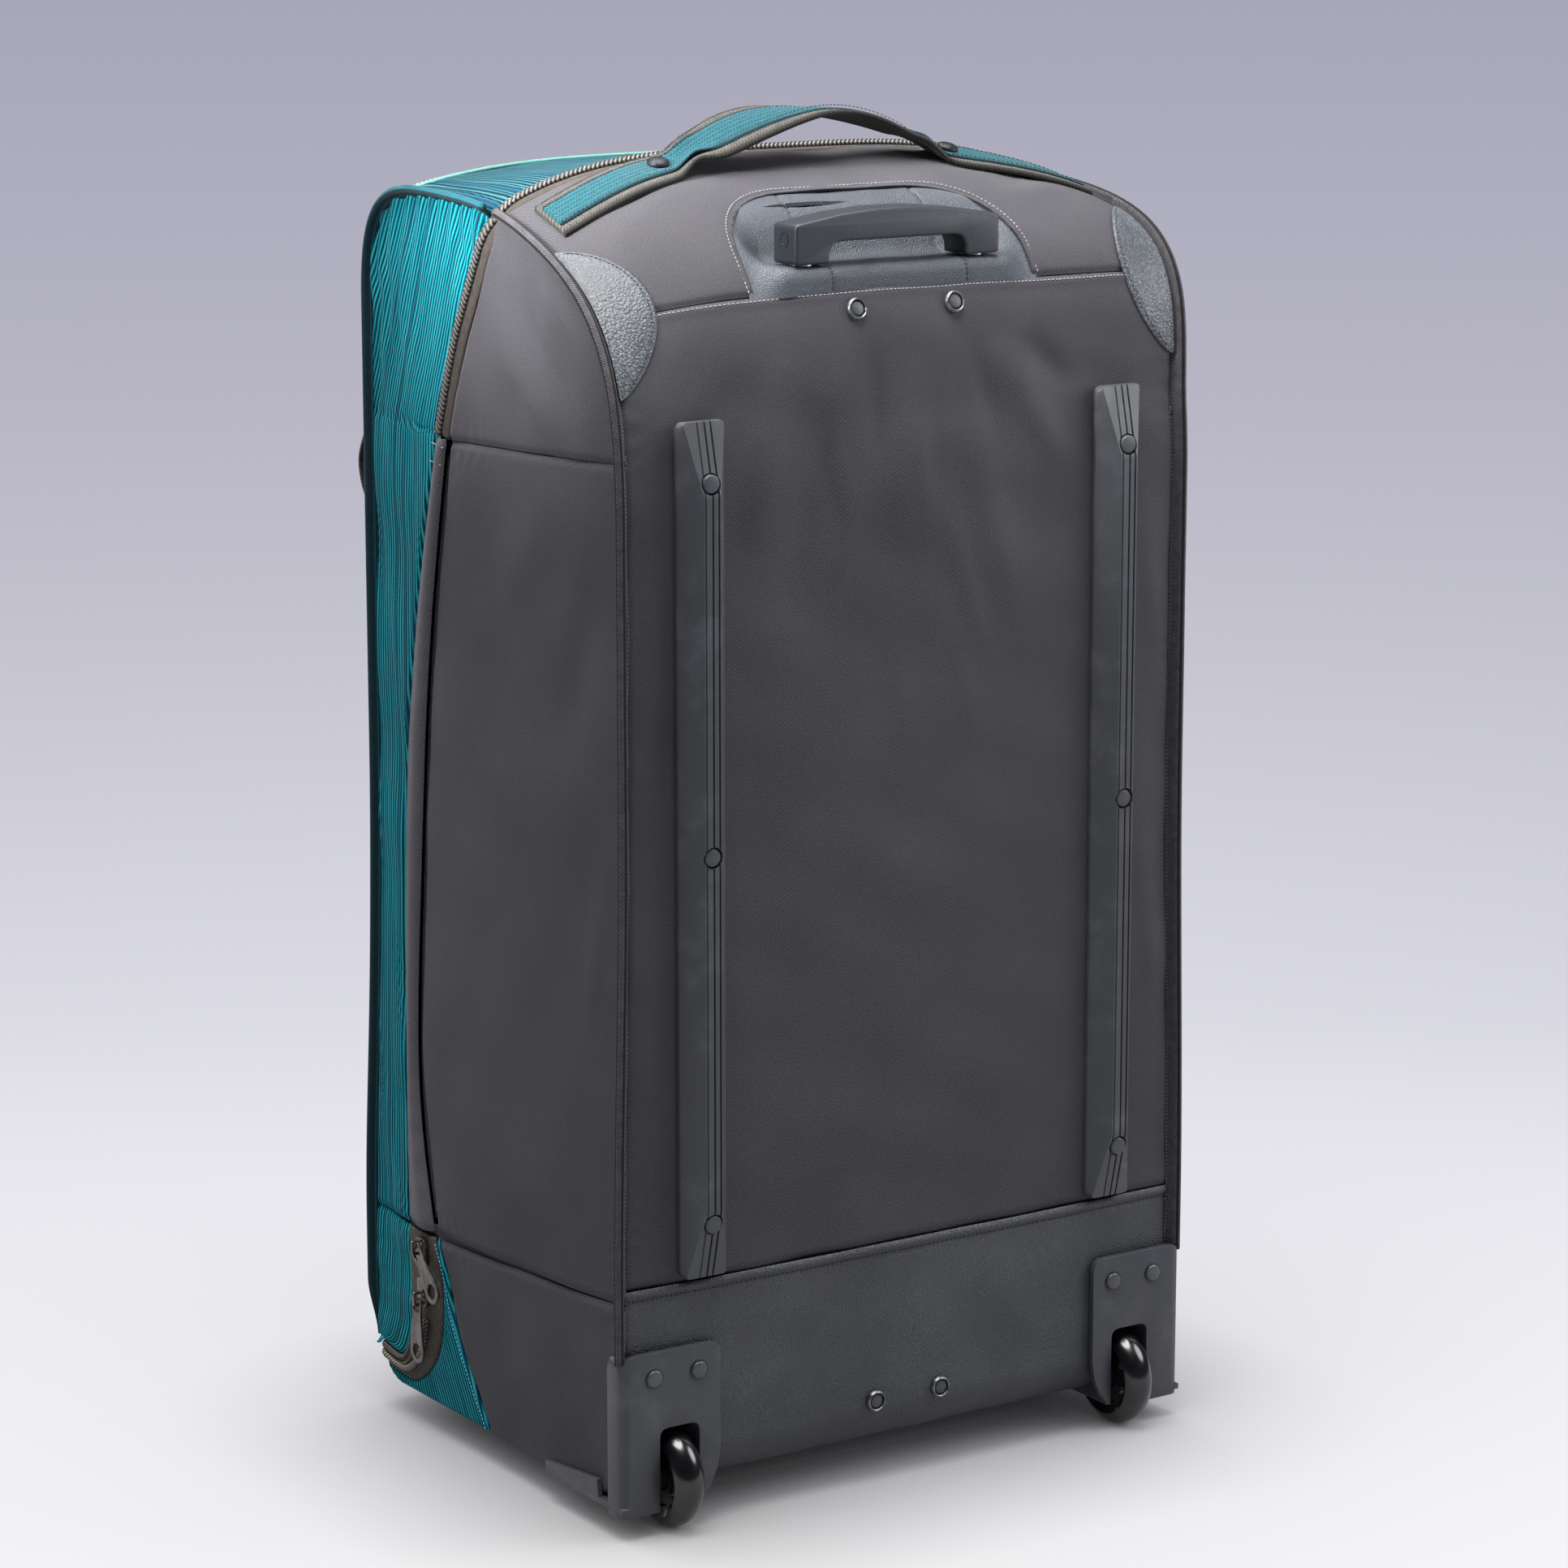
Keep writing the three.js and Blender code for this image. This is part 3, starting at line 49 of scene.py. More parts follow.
class Wire:
    """One socket of a node tree. Sums written with it add Math nodes; node() adds any other."""

    full_turn = 6.2832

    def __init__(self, tree, socket=None):
        self.tree, self.socket = tree, socket

    def node(self, kind, settings=None, sockets=None, output=0):
        made = self.tree.nodes.new("ShaderNode" + kind)
        for name, value in (settings or {}).items():
            if name == "stops":
                ends = made.color_ramp.elements
                ends[0].position, ends[-1].position = value[0][0], value[-1][0]
                ends[0].color, ends[-1].color = (*value[0][1], 1), (*value[-1][1], 1)
                for place, colour in value[1:-1]:
                    ends.new(place).color = (*colour, 1)
            else:
                setattr(made, name, value)
        for name, value in (sockets or {}).items():
            if isinstance(value, Wire):
                self.tree.links.new(value.socket, made.inputs[name])
            else:
                made.inputs[name].default_value = value
        return Wire(self.tree, made.outputs[output] if len(made.outputs) else None)

    def maths(self, operation, first, second=0.0):
        return self.node("Math", {"operation": operation}, {0: first, 1: second})

    def __add__(self, other):
        return self.maths("ADD", self, other)

    def __sub__(self, other):
        return self.maths("SUBTRACT", self, other)

    def __rsub__(self, other):
        return self.maths("SUBTRACT", other, self)

    def __mul__(self, other):
        return self.maths("MULTIPLY", self, other)

    def __truediv__(self, other):
        return self.maths("DIVIDE", self, other)

    def __pow__(self, other):
        return self.maths("POWER", self, other)

    __radd__, __rmul__ = __add__, __mul__

    def ripple(self, length):
        return self.maths("SINE", self * (self.full_turn / length))

    def ribs(self, length):
        return self.ripple(length) * 0.5 + 0.5

    def band(self, low, high):
        return self.node("MapRange", {"interpolation_type": "SMOOTHSTEP"}, {0: self, 1: low, 2: high})

    def blend(self, first, second):
        kinds = {"data_type": "RGBA", "blend_type": "MIX"}
        return self.node("Mix", kinds, {0: self, 6: first, 7: second}, 2)

    def place(self):
        return self.node("TexCoord", None, None, 3)

    def cloth(self):
        flat = self.node("UVMap", {"uv_map": "cloth"})
        return flat, *(self.node("SeparateXYZ", None, {0: flat}, k) for k in (0, 1))

    def noise(self, place, scale, detail=2.0, rough=0.5):
        sockets = {"Vector": place, "Scale": scale, "Detail": detail, "Roughness": rough}
        return self.node("TexNoise", None, sockets)


def tint(code):
    parts = [(code >> shift & 255) / 255 for shift in (16, 8, 0)]
    return tuple(c / 12.92 if c < 0.04045 else ((c + 0.055) / 1.055) ** 2.4 for c in parts)


def full(code):
    return (*tint(code), 1.0)


def finish(name):
    made = bpy.data.materials.new(name)
    made.use_nodes = True
    made.node_tree.nodes.clear()
    return made, Wire(made.node_tree)


def surface(root, sockets, *bump):
    # A finished surface; bump gives its relief, the depth of that and its strength.
    if bump:
        relief = dict(zip(("Height", "Distance", "Strength"), bump))
        sockets = {**sockets, "Normal": root.node("Bump", None, relief)}
    shader = root.node("BsdfPrincipled", None, sockets)
    root.node("OutputMaterial", None, {"Surface": shader})


def add(name, data):
    made = bpy.data.objects.new(name, data)
    scene.collection.objects.link(made)
    return made


def lamp(name, place, aim, size, power, colour, spread=180):
    light = bpy.data.lights.new(name, "AREA")
    light.shape, light.size, light.energy, light.color = "DISK", size, power, colour
    light.spread = math.radians(spread)
    holder = add(name, light)
    holder.location = place
    holder.rotation_euler = (Vector(aim) - Vector(place)).to_track_quat("-Z", "Y").to_euler()


lens = bpy.data.cameras.new("camera")
lens.sensor_width, lens.lens, lens.clip_end = 36.0, 110.99, 300.0
camera = add("camera", lens)
camera.location = (-1.6969, -2.5655, 1.0738)
camera.rotation_euler = (math.radians(78.089), 0.0, math.radians(-33.656))
scene.camera = camera

WARM, COOL = (1.0, 0.99, 0.98), (0.97, 0.98, 1.0)
lamp("overhead", (-0.3, -0.05, 3.0), (-0.05, 0, 0.6), size=2.4, power=235, colour=WARM)
lamp("left", (-1.05, -0.1, 1.18), (-0.2, -0.02, 0.825), size=0.2, power=0.6, colour=WARM, spread=17)
lamp("front", (-0.8, 1.5, 1.0), (-0.2, 0.1, 0.45), size=0.8, power=7.5, colour=WARM)
lamp("right", (1.05, -0.75, 1.05), (0.05, 0, 0.45), size=0.9, power=15.5, colour=COOL)

sky = bpy.data.worlds.new("sky")
sky.use_nodes = True
sky.node_tree.nodes["Background"].inputs["Color"].default_value = (0.80, 0.80, 0.86, 1)
sky.node_tree.nodes["Background"].inputs["Strength"].default_value = 0.09
scene.world = sky

bpy.ops.mesh.primitive_circle_add(vertices=96, radius=70, fill_type="TRIFAN")
floor = bpy.context.object
floor.name = "floor"
floor_finish, root = finish("pale_floor")
spot = root.place()
x, y = (root.node("SeparateXYZ", None, {0: spot}, k) for k in (0, 1))
AHEAD_X, AHEAD_Y = 0.5542, 0.8324  # the way the camera looks, along the floor
deep, wide = x * AHEAD_X + y * AHEAD_Y + 0.4, (x * AHEAD_Y - y * AHEAD_X) * 0.35
away = (deep * deep + wide * wide) ** 0.5
stops = [(0.0, (0.615, 0.618, 0.620)), (0.074, (0.590, 0.582, 0.622)), (0.149, (0.546, 0.537, 0.580)),
         (0.262, (0.452, 0.451, 0.523)), (0.405, (0.465, 0.463, 0.543)), (0.535, (0.462, 0.450, 0.537)),
         (0.677, (0.424, 0.418, 0.511)), (0.826, (0.383, 0.377, 0.471)), (1.0, (0.351, 0.346, 0.441))]
tone = root.node("ValToRGB", {"stops": stops}, {0: away / (away + 4.0)})
mottle = root.noise(spot, 0.8)
# Painted contact shadow: ambient occlusion darkens the floor's glow near the bag.
near = root.node("AmbientOcclusion", {"samples": 8}, {"Distance": 0.16}, 1) ** 1.2
tone = near.blend((0.0, 0.0, 0.0, 1), tone)
surface(root, {"Base Color": (0.12, 0.12, 0.12, 1), "Roughness": mottle * 0.1 + 0.8,
               "Specular IOR Level": 0.05, "Emission Color": tone, "Emission Strength": 1.0})
floor.data.materials.append(floor_finish)

# Back panel
# One large cut of grey twill over a stiff sheet, sewn to the base strip below and the top panel
# above. It bulges a little, and shallow folds fan down from the trolley rivets.
CLOTH = 2.0  # thickness, in millimetres as all lengths below
ROW_Y = 159.181  # the cut patterns measure depth from the back, the finished bag from its middle
HALF_BODY = 208  # half the width of the body
RIM_INSET = 2.3  # the wrapping cloth stops this far inside the face of the sides
MIDDLE = np.array([0, 155, 417])  # of the body


def smooth(value, low, high):
    share = np.clip((value - low) / (high - low), 0, 1)
    return share * share * (3 - 2 * share)


def bell(value, middle, wide):
    return np.exp(-(((value - middle) / wide) ** 2))


def unit(rows):
    return rows / np.linalg.norm(rows, axis=-1, keepdims=True)


def trace(at, run, rows):
    return np.stack([np.interp(at, run, column) for column in rows.T], -1)


def bow(*ends):
    share = np.linspace(0, 1, 300)[:, None]
    a, b, c, d = np.array(ends, float)
    rest = 1 - share
    return rest**3 * a + 3 * rest**2 * share * b + 3 * rest * share**2 * c + share**3 * d


def bend(y, z, radius, start, end):
    turn = np.radians(np.linspace(start, end, 160))
    return np.stack([y + radius * np.cos(turn), z + radius * np.sin(turn)], 1)


# The rim is the edge where a side meets the cloth that wraps round back, top, front and bottom.
rim_points = np.vstack([
    [(60, 22)],
    bend(33, 52, 30, -90, -180),
    bow((3, 640), (5, 735), (28, 775), (113, 799)),
    bow((113, 799), (143, 807.5), (190, 812), (240, 812)),
    bow((240, 812), (288, 812), (306, 795), (307, 745)),
    bow((307, 330), (307, 230), (313, 190), (313, 120)),
    bend(283, 52, 30, 0, -90),
    [(60, 22)],
])
steps = np.hypot(*np.diff(rim_points, axis=0).T)
rim_points = rim_points[np.r_[True, steps > 1e-6]]
rim_run = np.r_[0, np.cumsum(steps[steps > 1e-6])]
rim_length = rim_run[-1]
rim_s = np.arange(0, rim_length, 0.2)
rim_y, rim_z = (np.interp(rim_s, rim_run, rim_points[:, k]) for k in (0, 1))


def rim_at(s):
    # Depth and height of the rim at a run s, and the two parts of its outward way.
    before, here, after = (trace(np.clip(s + d, 0, rim_length), rim_run, rim_points) for d in (-1, 0, 1))
    ahead = unit(after - before)
    return here[..., 0], here[..., 1], -ahead[..., 1], ahead[..., 0]


def rim_where(test, start=0.0):
    return rim_s[np.argmax(test & (rim_s >= start))]


def half_width(z):
    return HALF_BODY + 5 * smooth(-z, -450, -150)


def wrap(u, s, lift=0.0):
    y, z, ny, nz = rim_at(s)
    top = 32 + (17 - 32) * smooth(y, 155, 290)
    crown = np.where(ny < 0, 3, 14) * ny**2 + top * np.maximum(nz, 0) ** 2
    out = crown * (1 - np.abs(u) ** 3.5) + lift
    return np.stack(np.broadcast_arrays(u * (half_width(z) - RIM_INSET), y + ny * out, z + nz * out), -1)


# Where the stuffed body swells or sinks: place, reach, stretch across, push.
SWELLS = [
    ((HALF_BODY, 45, 785), 120, 1, (4, -14, 7)),
    ((-HALF_BODY, 70, 780), 110, 1, (1, 6, -3)),
    ((0, 14, 752), 75, 2.7, (0, -7, 2.5)),
    ((-HALF_BODY, 110, 560), 120, 1, (5, 0, 0)),
    ((HALF_BODY, 110, 560), 120, 1, (-5, 0, 0)),
]


def settle(points):
    moved = points.copy()
    for place, reach, wide, push in SWELLS:
        far = (points - np.array(place)) / np.array([wide, 1, 1])
        near = np.maximum(0, 1 - (far**2).sum(-1) / reach**2)
        moved += near[..., None] ** 2 * np.array(push)
    return moved


def crowd(count, share=0.75):
    even = np.linspace(0, 1, count)
    return (1 - share) * even + share * (0.5 - 0.5 * np.cos(np.pi * even))


def waves(u, v, length, seed):
    # Gentle hand-made unevenness: a few crossing waves of about one length.
    dice = np.random.default_rng(seed)
    total, count = 0, 9
    for turn, start, stretch in zip(dice.uniform(0, np.pi, count), dice.uniform(0, 6.28, count),
                                    dice.uniform(0.7, 1.6, count)):
        along = u * np.cos(turn) + v * np.sin(turn)
        total = total + np.sin(2 * np.pi * along / (length * stretch) + start)
    return total / count**0.5


def facing(points):
    normal = unit(np.cross(np.gradient(points, axis=1), np.gradient(points, axis=0)))
    outward = ((points - MIDDLE) * normal).sum() > 0
    return normal if outward else -normal


def push_out(points, high):
    return points + facing(points) * np.asarray(high)[..., None]


def lengths(points, axis):
    step = np.linalg.norm(np.diff(points, axis=axis), axis=-1)
    pad = [(0, 0), (0, 0)]
    pad[axis] = (1, 0)
    return np.pad(np.cumsum(step, axis=axis), pad)


def sewn(points, edges="start end left right", deep=1.5, pucker=0.35, pitch=13.0):
    # The cloth turns in at each sewn edge, and the thread draws it into small puckers.
    wide, seed = 2.6, 3
    along, aside = lengths(points, 0), lengths(points, 1)
    ways = {"start": (along, aside), "end": (along[-1:] - along, aside),
            "left": (aside, along), "right": (aside[:, -1:] - aside, along)}
    high = np.zeros(points.shape[:2])
    for edge in edges.split():
        off, run = ways[edge]
        high -= deep * bell(off, 0, wide)
        ripple = np.sin(2 * np.pi * run / pitch + 4 * waves(run, off, 5 * pitch, seed))
        ripple = ripple * smooth(waves(run, off, 9 * pitch, seed + 1), -0.6, 1.4)
        high += pucker * ripple * bell(off, 7, 7)
    return push_out(points, high)


def pick(piece):
    bpy.ops.object.select_all(action="DESELECT")
    bpy.context.view_layer.objects.active = piece
    piece.select_set(True)


def apply(piece, kind, **settings):
    modifier = piece.modifiers.new(kind.lower(), kind)
    for name, value in settings.items():
        setattr(modifier, name, value)
    pick(piece)
    bpy.ops.object.modifier_apply(modifier=modifier.name)


def dress(piece, body, slot, *nodes):
    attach(piece, body)
    if nodes:
        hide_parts(*nodes)


def mesh_piece(name, points, faces, material, flat=None):
    # Points in millimetres of the cut patterns; flat gives each point's place on the flat cloth.
    mesh = bpy.data.meshes.new(name)
    points = (np.asarray(points, float) - np.array([0, ROW_Y, 0])) / 1000
    mesh.from_pydata(points.tolist(), [], faces if isinstance(faces, list) else faces.tolist())
    if flat is not None:
        spread = mesh.uv_layers.new(name="cloth")
        loops = np.asarray(flat)[np.asarray(faces).ravel()] / 1000
        spread.data.foreach_set("uv", loops.ravel())
    mesh.polygons.foreach_set("use_smooth", [True] * len(mesh.polygons))
    mesh.materials.append(material)
    return add(name, mesh)


def sew(name, points, flat, material, wall=CLOTH):
    rows, cols = points.shape[:2]
    at = np.arange(rows * cols).reshape(rows, cols)
    quads = np.stack([at[:-1, :-1], at[:-1, 1:], at[1:, 1:], at[1:, :-1]], -1).reshape(-1, 4)
    cross = np.cross(np.gradient(points, axis=1), np.gradient(points, axis=0))
    if (cross * facing(points)).sum() < 0:
        quads = quads[:, ::-1]
    piece = mesh_piece(name, points.reshape(-1, 3), quads, material, flat.reshape(-1, 2))
    apply(piece, "SOLIDIFY", thickness=wall / 1000, offset=-1.0)
    return piece


def panel(node, points, flat, material, slot, wall=CLOTH):
    dress(sew(f"{node}_cloth", points, flat, material, wall), "bag", slot, node)


def twill(name, dark, light):
    # Grey polyester twill: fine diagonal ribs, thread flecks and faint cloudiness.
    made, root = finish(name)
    flat, u, v = root.cloth()
    rib = (u * 0.86 + v * 0.5).ribs(0.0013)
    thread = (v * 0.86 - u * 0.5).ribs(0.0009)
    fleck, cloud = root.noise(flat, 900.0), root.noise(flat, 9.0, 3.0)
    high = rib * 0.6 + thread * 0.25 + fleck * 0.5
    shade = (rib * 0.45 + fleck * 0.45 + cloud * 0.25 - 0.08).band(0.1, 0.95)
    colour = shade.blend(full(dark), full(light))
    sockets = {"Base Color": colour, "Roughness": 0.95 - fleck * 0.2, "Sheen Weight": 0.1,
               "Sheen Roughness": 0.2, "Specular IOR Level": 0.2}
    surface(root, sockets, high, 0.0004, 0.55)
    return made


grey_cloth = twill("grey_cloth", 0x29282B, 0x525156)
S_BASE_SEAM = rim_where(rim_z >= 158.6)
S_TOP_SEAM = rim_where(rim_z >= 752)


def wrap_grid(s0, s1, rows, cols, lift=0.0, near=-1.0, far=1.0, share=0.75):
    a, b = np.meshgrid(crowd(rows, share), crowd(cols), indexing="ij")
    s, u = s0 + (s1 - s0) * a, near + (far - near) * b
    points = settle(wrap(u, s, lift))
    return points, np.stack([u * HALF_BODY, s], -1), u, s


# Folds in the back cloth: from, to (x and height), half width, height of the fold.
FOLDS = [
    ((-92, 728), (-118, 610), 13, 3.0), ((-62, 700), (-96, 560), 15, -2.4),
    ((4, 722), (-8, 600), 16, 2.2), ((66, 726), (118, 640), 12, 3.0),
    ((88, 728), (128, 690), 9, -2.2), ((40, 690), (84, 540), 15, 2.0),
    ((-40, 742), (-60, 640), 7, 1.1), ((-28, 744), (-24, 650), 6, -1.0),
    ((30, 744), (22, 650), 7, 1.0), ((42, 742), (70, 650), 6, -1.0), ((-120, 735), (-196, 660), 10, 1.4),
    ((-118, 300), (-60, 190), 26, 1.2), ((110, 330), (30, 190), 30, 1.1), ((-110, 520), (60, 330), 34, 0.9),
    ((120, 560), (-30, 420), 30, -0.8), ((178, 640), (196, 480), 10, 1.3), ((-178, 620), (-198, 450), 9, 1.1),
    ((180, 420), (200, 260), 9, 1.0), ((-184, 400), (-198, 240), 8, 0.9), ((120, 720), (190, 700), 9, 1.2),
    ((19, 643), (63, 513), 7, 0.9), ((-39, 646), (-56, 584), 7, 0.8), ((2, 690), (16, 600), 6, 0.7),
    ((-14, 560), (-2, 470), 8, 0.6), ((30, 560), (52, 470), 7, 0.6), ((-70, 690), (-52, 600), 6, -0.6),
]


def fold_height(x, z, folds):
    high = np.zeros(np.shape(x))
    for start, end, half, peak in folds:
        run = np.subtract(end, start)
        size = np.hypot(*run)
        along = ((x - start[0]) * run[0] + (z - start[1]) * run[1]) / size**2
        aside = ((x - start[0]) * run[1] - (z - start[1]) * run[0]) / size
        ridge = np.sin(np.pi * np.clip(along, 0, 1)) * bell(aside, 0, half)
        high += peak * ridge * ((along > 0) & (along < 1))
    return high


points, flat, u, s = wrap_grid(S_BASE_SEAM + 0.1, S_TOP_SEAM - 0.1, 170, 120, share=0.6)
RAIL_X = 156  # middle of a rail
loose = smooth(np.abs(np.abs(points[..., 0]) - RAIL_X), 14, 40)  # the rails hold the cloth down
high = 1.4 * fold_height(points[..., 0], points[..., 2], FOLDS)
high = high + 0.5 * waves(flat[..., 0], flat[..., 1], 70, 5)
welt = bell(S_TOP_SEAM - s, 3.4, 2.6)
points = sewn(push_out(points, high * (0.35 + 0.65 * loose) + welt), deep=1.6)
top_hem = np.argmin(np.abs(s[:, 0] - (S_TOP_SEAM - 3.6)))
top_hem = points[top_hem, 2:-2], facing(points)[top_hem, 2:-2]
panel("back_panel", points, flat, grey_cloth, "grey_cloth")

# Base strip
# A band of grained coated cloth round the foot of the back, its top edge rolled over and
# stitched, cut away at both corners for the wheel wells. The bottom panel is plain grey cloth.


def coated(name, dark, light, gloss, grain, crease=0.0):
    # Coated cloth: pebbled grain, a soft shine on the pebbles, paler where it is rubbed.
    made, root = finish(name)
    spot = root.place()
    cells = {"Vector": spot, "Scale": grain, "Smoothness": 0.6}
    pebble = root.node("TexVoronoi", {"feature": "SMOOTH_F1"}, cells)
    dust, cloud = root.noise(spot, grain * 1.6, 3.0), root.noise(spot, 14.0, 4.0)
    rub = (dust * 0.6 + cloud * 0.4).band(0.42, 0.68)
    colour = (pebble.band(0.3, 0.62) * crease).blend(rub.blend(full(dark), full(light)), full(dark))
    sockets = {"Base Color": colour, "Roughness": 1.0 - gloss - dust * 0.2, "Specular IOR Level": 0.45}
    surface(root, sockets, 1.0 - pebble * 1.2 + dust * 0.4, 0.0006, 0.7)
    return made


def cut(piece, tool, solver="EXACT"):
    apply(piece, "BOOLEAN", operation="DIFFERENCE", object=tool, solver=solver)
    bpy.data.objects.remove(tool, do_unlink=True)


coated_base = coated("coated_base", 0x303236, 0x47494E, 0.42, 900.0)
points, flat, u, s = wrap_grid(0.2, S_BASE_SEAM - 0.1, 90, 110, share=0.5)
from_seam = S_BASE_SEAM - s
hem = 1.7 * bell(from_seam, 3.2, 2.6) - 0.9 * bell(from_seam, 7.6, 1.6)
points = push_out(points, hem + 0.3 * waves(flat[..., 0], flat[..., 1], 60, 8))
points = sewn(points, "left right", deep=1.4)
base_hem = np.argmin(np.abs(from_seam[:, 0] - 7.4))
base_hem = points[base_hem, 2:-2], facing(points)[base_hem, 2:-2]
base_strip = sew("base_strip_cloth", points, flat, coated_base)
WHEEL_X = 175  # middle of a wheel
BOX = [(0, 1, 3, 2), (4, 6, 7, 5), (0, 4, 5, 1), (2, 3, 7, 6), (0, 2, 6, 4), (1, 5, 7, 3)]
for x in (-WHEEL_X, WHEEL_X):
    well = [(x + off, y, z) for off in (-19, 19) for y in (-30, 53) for z in (0, 77)]
    cut(base_strip, mesh_piece("well", well, BOX, grey_cloth))
dress(base_strip, "bag", "coated_cloth", "base_strip")

# Where the zips cross the rim, over the top and down the front to the bottom panel.
S_ZIP_BACK = rim_where(rim_y >= 142, S_TOP_SEAM)
S_ZIP_FRONT = rim_where(rim_y >= 157, S_ZIP_BACK)
S_LID_ZIP = [rim_where(rim_y >= y, S_ZIP_FRONT) for y in (268, 283)]
S_FRONT = rim_where(rim_z <= 745, S_LID_ZIP[1])
S_LOW_ZIP = [rim_where(rim_z <= z, S_FRONT) for z in (46, 30)]
points, flat, u, s = wrap_grid(S_LOW_ZIP[1] + 0.2, rim_length - 0.2, 50, 60)
points = sewn(push_out(points, 0.5 * waves(flat[..., 0], flat[..., 1], 80, 9)), "left right")
panel("bottom_panel", points, flat, grey_cloth, "grey_cloth")


def run_along(line):
    return np.r_[0, np.cumsum(np.linalg.norm(np.diff(line, axis=0), axis=1))]


def stitches(name, slot, line, out, thread, pitch, long, thick, lift=0.25):
    # A row of sewn stitches: small rounded beads of thread laid along a line on the cloth.
    run = run_along(line)
    at = np.arange(pitch / 2, run[-1], pitch)
    place, up = trace(at, run, line), unit(trace(at, run, out))
    ahead = unit(trace(at + 0.5, run, line) - trace(at - 0.5, run, line))
    side = np.cross(ahead, up)
    points, faces = [], []
    for end, size in ((-0.5, 0.35), (-0.3, 1.0), (0.3, 1.0), (0.5, 0.35)):
        for turn in np.radians([0, 72, 144, 216, 288]):
            raised = up * (lift + thick * size * math.sin(turn))
            points.append(place + ahead * (end * long) + raised + side * (thick * size * math.cos(turn)))
    points = np.stack(points, 1)
    bead = [(r + k, r + (k + 1) % 5, r + 5 + (k + 1) % 5, r + 5 + k) for r in (0, 5, 10) for k in range(5)]
    bead += [(4, 3, 2, 1, 0), (15, 16, 17, 18, 19)]
    for first in range(0, 20 * len(at), 20):
        faces += [tuple(first + k for k in face) for face in bead]
    dress(mesh_piece(name, points.reshape(-1, 3), faces, thread), "bag", slot)


def thread_finish(name, dark, light):
    made, root = finish(name)
    ply = root.noise(root.place(), 1500.0)
    sockets = {"Base Color": ply.blend(full(dark), full(light)), "Roughness": 0.75 + ply * 0.2,
               "Sheen Weight": 0.2}
    surface(root, sockets, ply, 0.0002, 0.5)
    return made


dark_thread = thread_finish("dark_thread", 0x101012, 0x26262A)
stitches("base_hem_stitches", "coated_cloth", *base_hem, dark_thread, 3.4, 2.5, 0.45)

# Top panel
# Grey twill from the top seam over to the main zip, with a rounded opening for the trolley pocket.
# It is sewn to the back with a felled seam, top-stitched in pale thread.


def opening_arch(grow):
    # Half the width of the pocket's opening, and the curve of its right-hand top corner.
    half, high, corner = 104 + grow, 79 + grow, 60
    return half, bow((half, high - corner), (half, high - corner * 0.4), (half - corner * 0.4, high),
                     (half - corner, high))


def open_mesh(piece):
    pick(piece)
    bpy.ops.object.mode_set(mode="EDIT")
    bpy.ops.mesh.select_all(action="SELECT")


def close_mesh():
    bpy.ops.mesh.normals_make_consistent(inside=False)
    bpy.ops.object.mode_set(mode="OBJECT")


def prism(name, near, far):
    # A cutter between two like rings of points.
    n = len(near)
    sides = [(k, (k + 1) % n, n + (k + 1) % n, n + k) for k in range(n)]
    ends = [tuple(range(n))[::-1], tuple(range(n, 2 * n))]
    piece = mesh_piece(name, np.vstack([near, far]), sides + ends, grey_cloth)
    piece.data.shade_flat()
    open_mesh(piece)
    close_mesh()
    return piece


S_POCKET_TOP = rim_where(rim_y >= 74, S_TOP_SEAM)
pocket_foot, pocket_head = wrap(0.0, S_TOP_SEAM), wrap(0.0, S_POCKET_TOP)
pocket_up = unit(pocket_head - pocket_foot)
pocket_out = np.cross([1, 0, 0], pocket_up)

points, flat, u, s = wrap_grid(S_TOP_SEAM + 0.1, S_ZIP_BACK - 0.2, 90, 130, share=0.6)
TOP_FOLDS = [((-190, 60), (-90, 100), 9, 1.6), ((120, 80), (195, 118), 10, -1.4),
             ((-130, 96), (-196, 116), 7, -1.2), ((110, 60), (180, 78), 9, 1.3),
             ((-60, 100), (60, 104), 10, 0.8)]
high = fold_height(points[..., 0], points[..., 1], TOP_FOLDS)
high = high + 0.45 * waves(flat[..., 0], flat[..., 1], 55, 12)
points = sewn(push_out(points, high), "start left right", deep=1.6)
top_panel = sew("top_panel_cloth", points, flat, grey_cloth)
half, arch = opening_arch(0)
arch = arch[::8]
drawn = np.vstack([[(half, -30)], arch, arch[::-1] * [-1, 1], [(-half, -30)]])
drawn = pocket_foot + drawn[:, :1] * [1, 0, 0] + drawn[:, 1:] * pocket_up
cut(top_panel, prism("opening", drawn - 60 * pocket_out, drawn + 60 * pocket_out))
dress(top_panel, "bag", "grey_cloth", "top_panel")
pale_thread = thread_finish("pale_thread", 0x77747A, 0xA5A2A6)
stitches("top_seam_stitches", "grey_cloth", *top_hem, pale_thread, 3.0, 1.9, 0.36)

# Trolley pocket
# Smooth dark coated cloth let into the opening. It turns in to a floor under the grip and climbs
# again behind it. Pale stitches hold its rounded edge, and two seams run down it.
POCKET_HALF = 107  # half the width of its cloth
SEAM_X = 50
TUBE_X, TUBE_Y = 63.5, 29  # the trolley tubes, which pass through the pocket's floor


def wrap_share(x, s):
    # How far across the wrapping cloth a place x lies, from -1 to 1.
    return x / (half_width(rim_at(s)[1]) - RIM_INSET)


def pocket_points(a, x):
    s = S_TOP_SEAM - 3 + 72 * a
    plain = settle(wrap(wrap_share(x, s), s, -1.2))
    fine = spline(POCKET_LINE, np.linspace(0, 1, 600))
    run = run_along(fine)
    sunk = trace(a, run / run[-1], fine)
    share = (1 - smooth(np.abs(x), 79, 101))[..., None]
    plain[..., 1:] += share * (sunk - plain[..., 1:])
    plain[..., 0] = x
    return plain


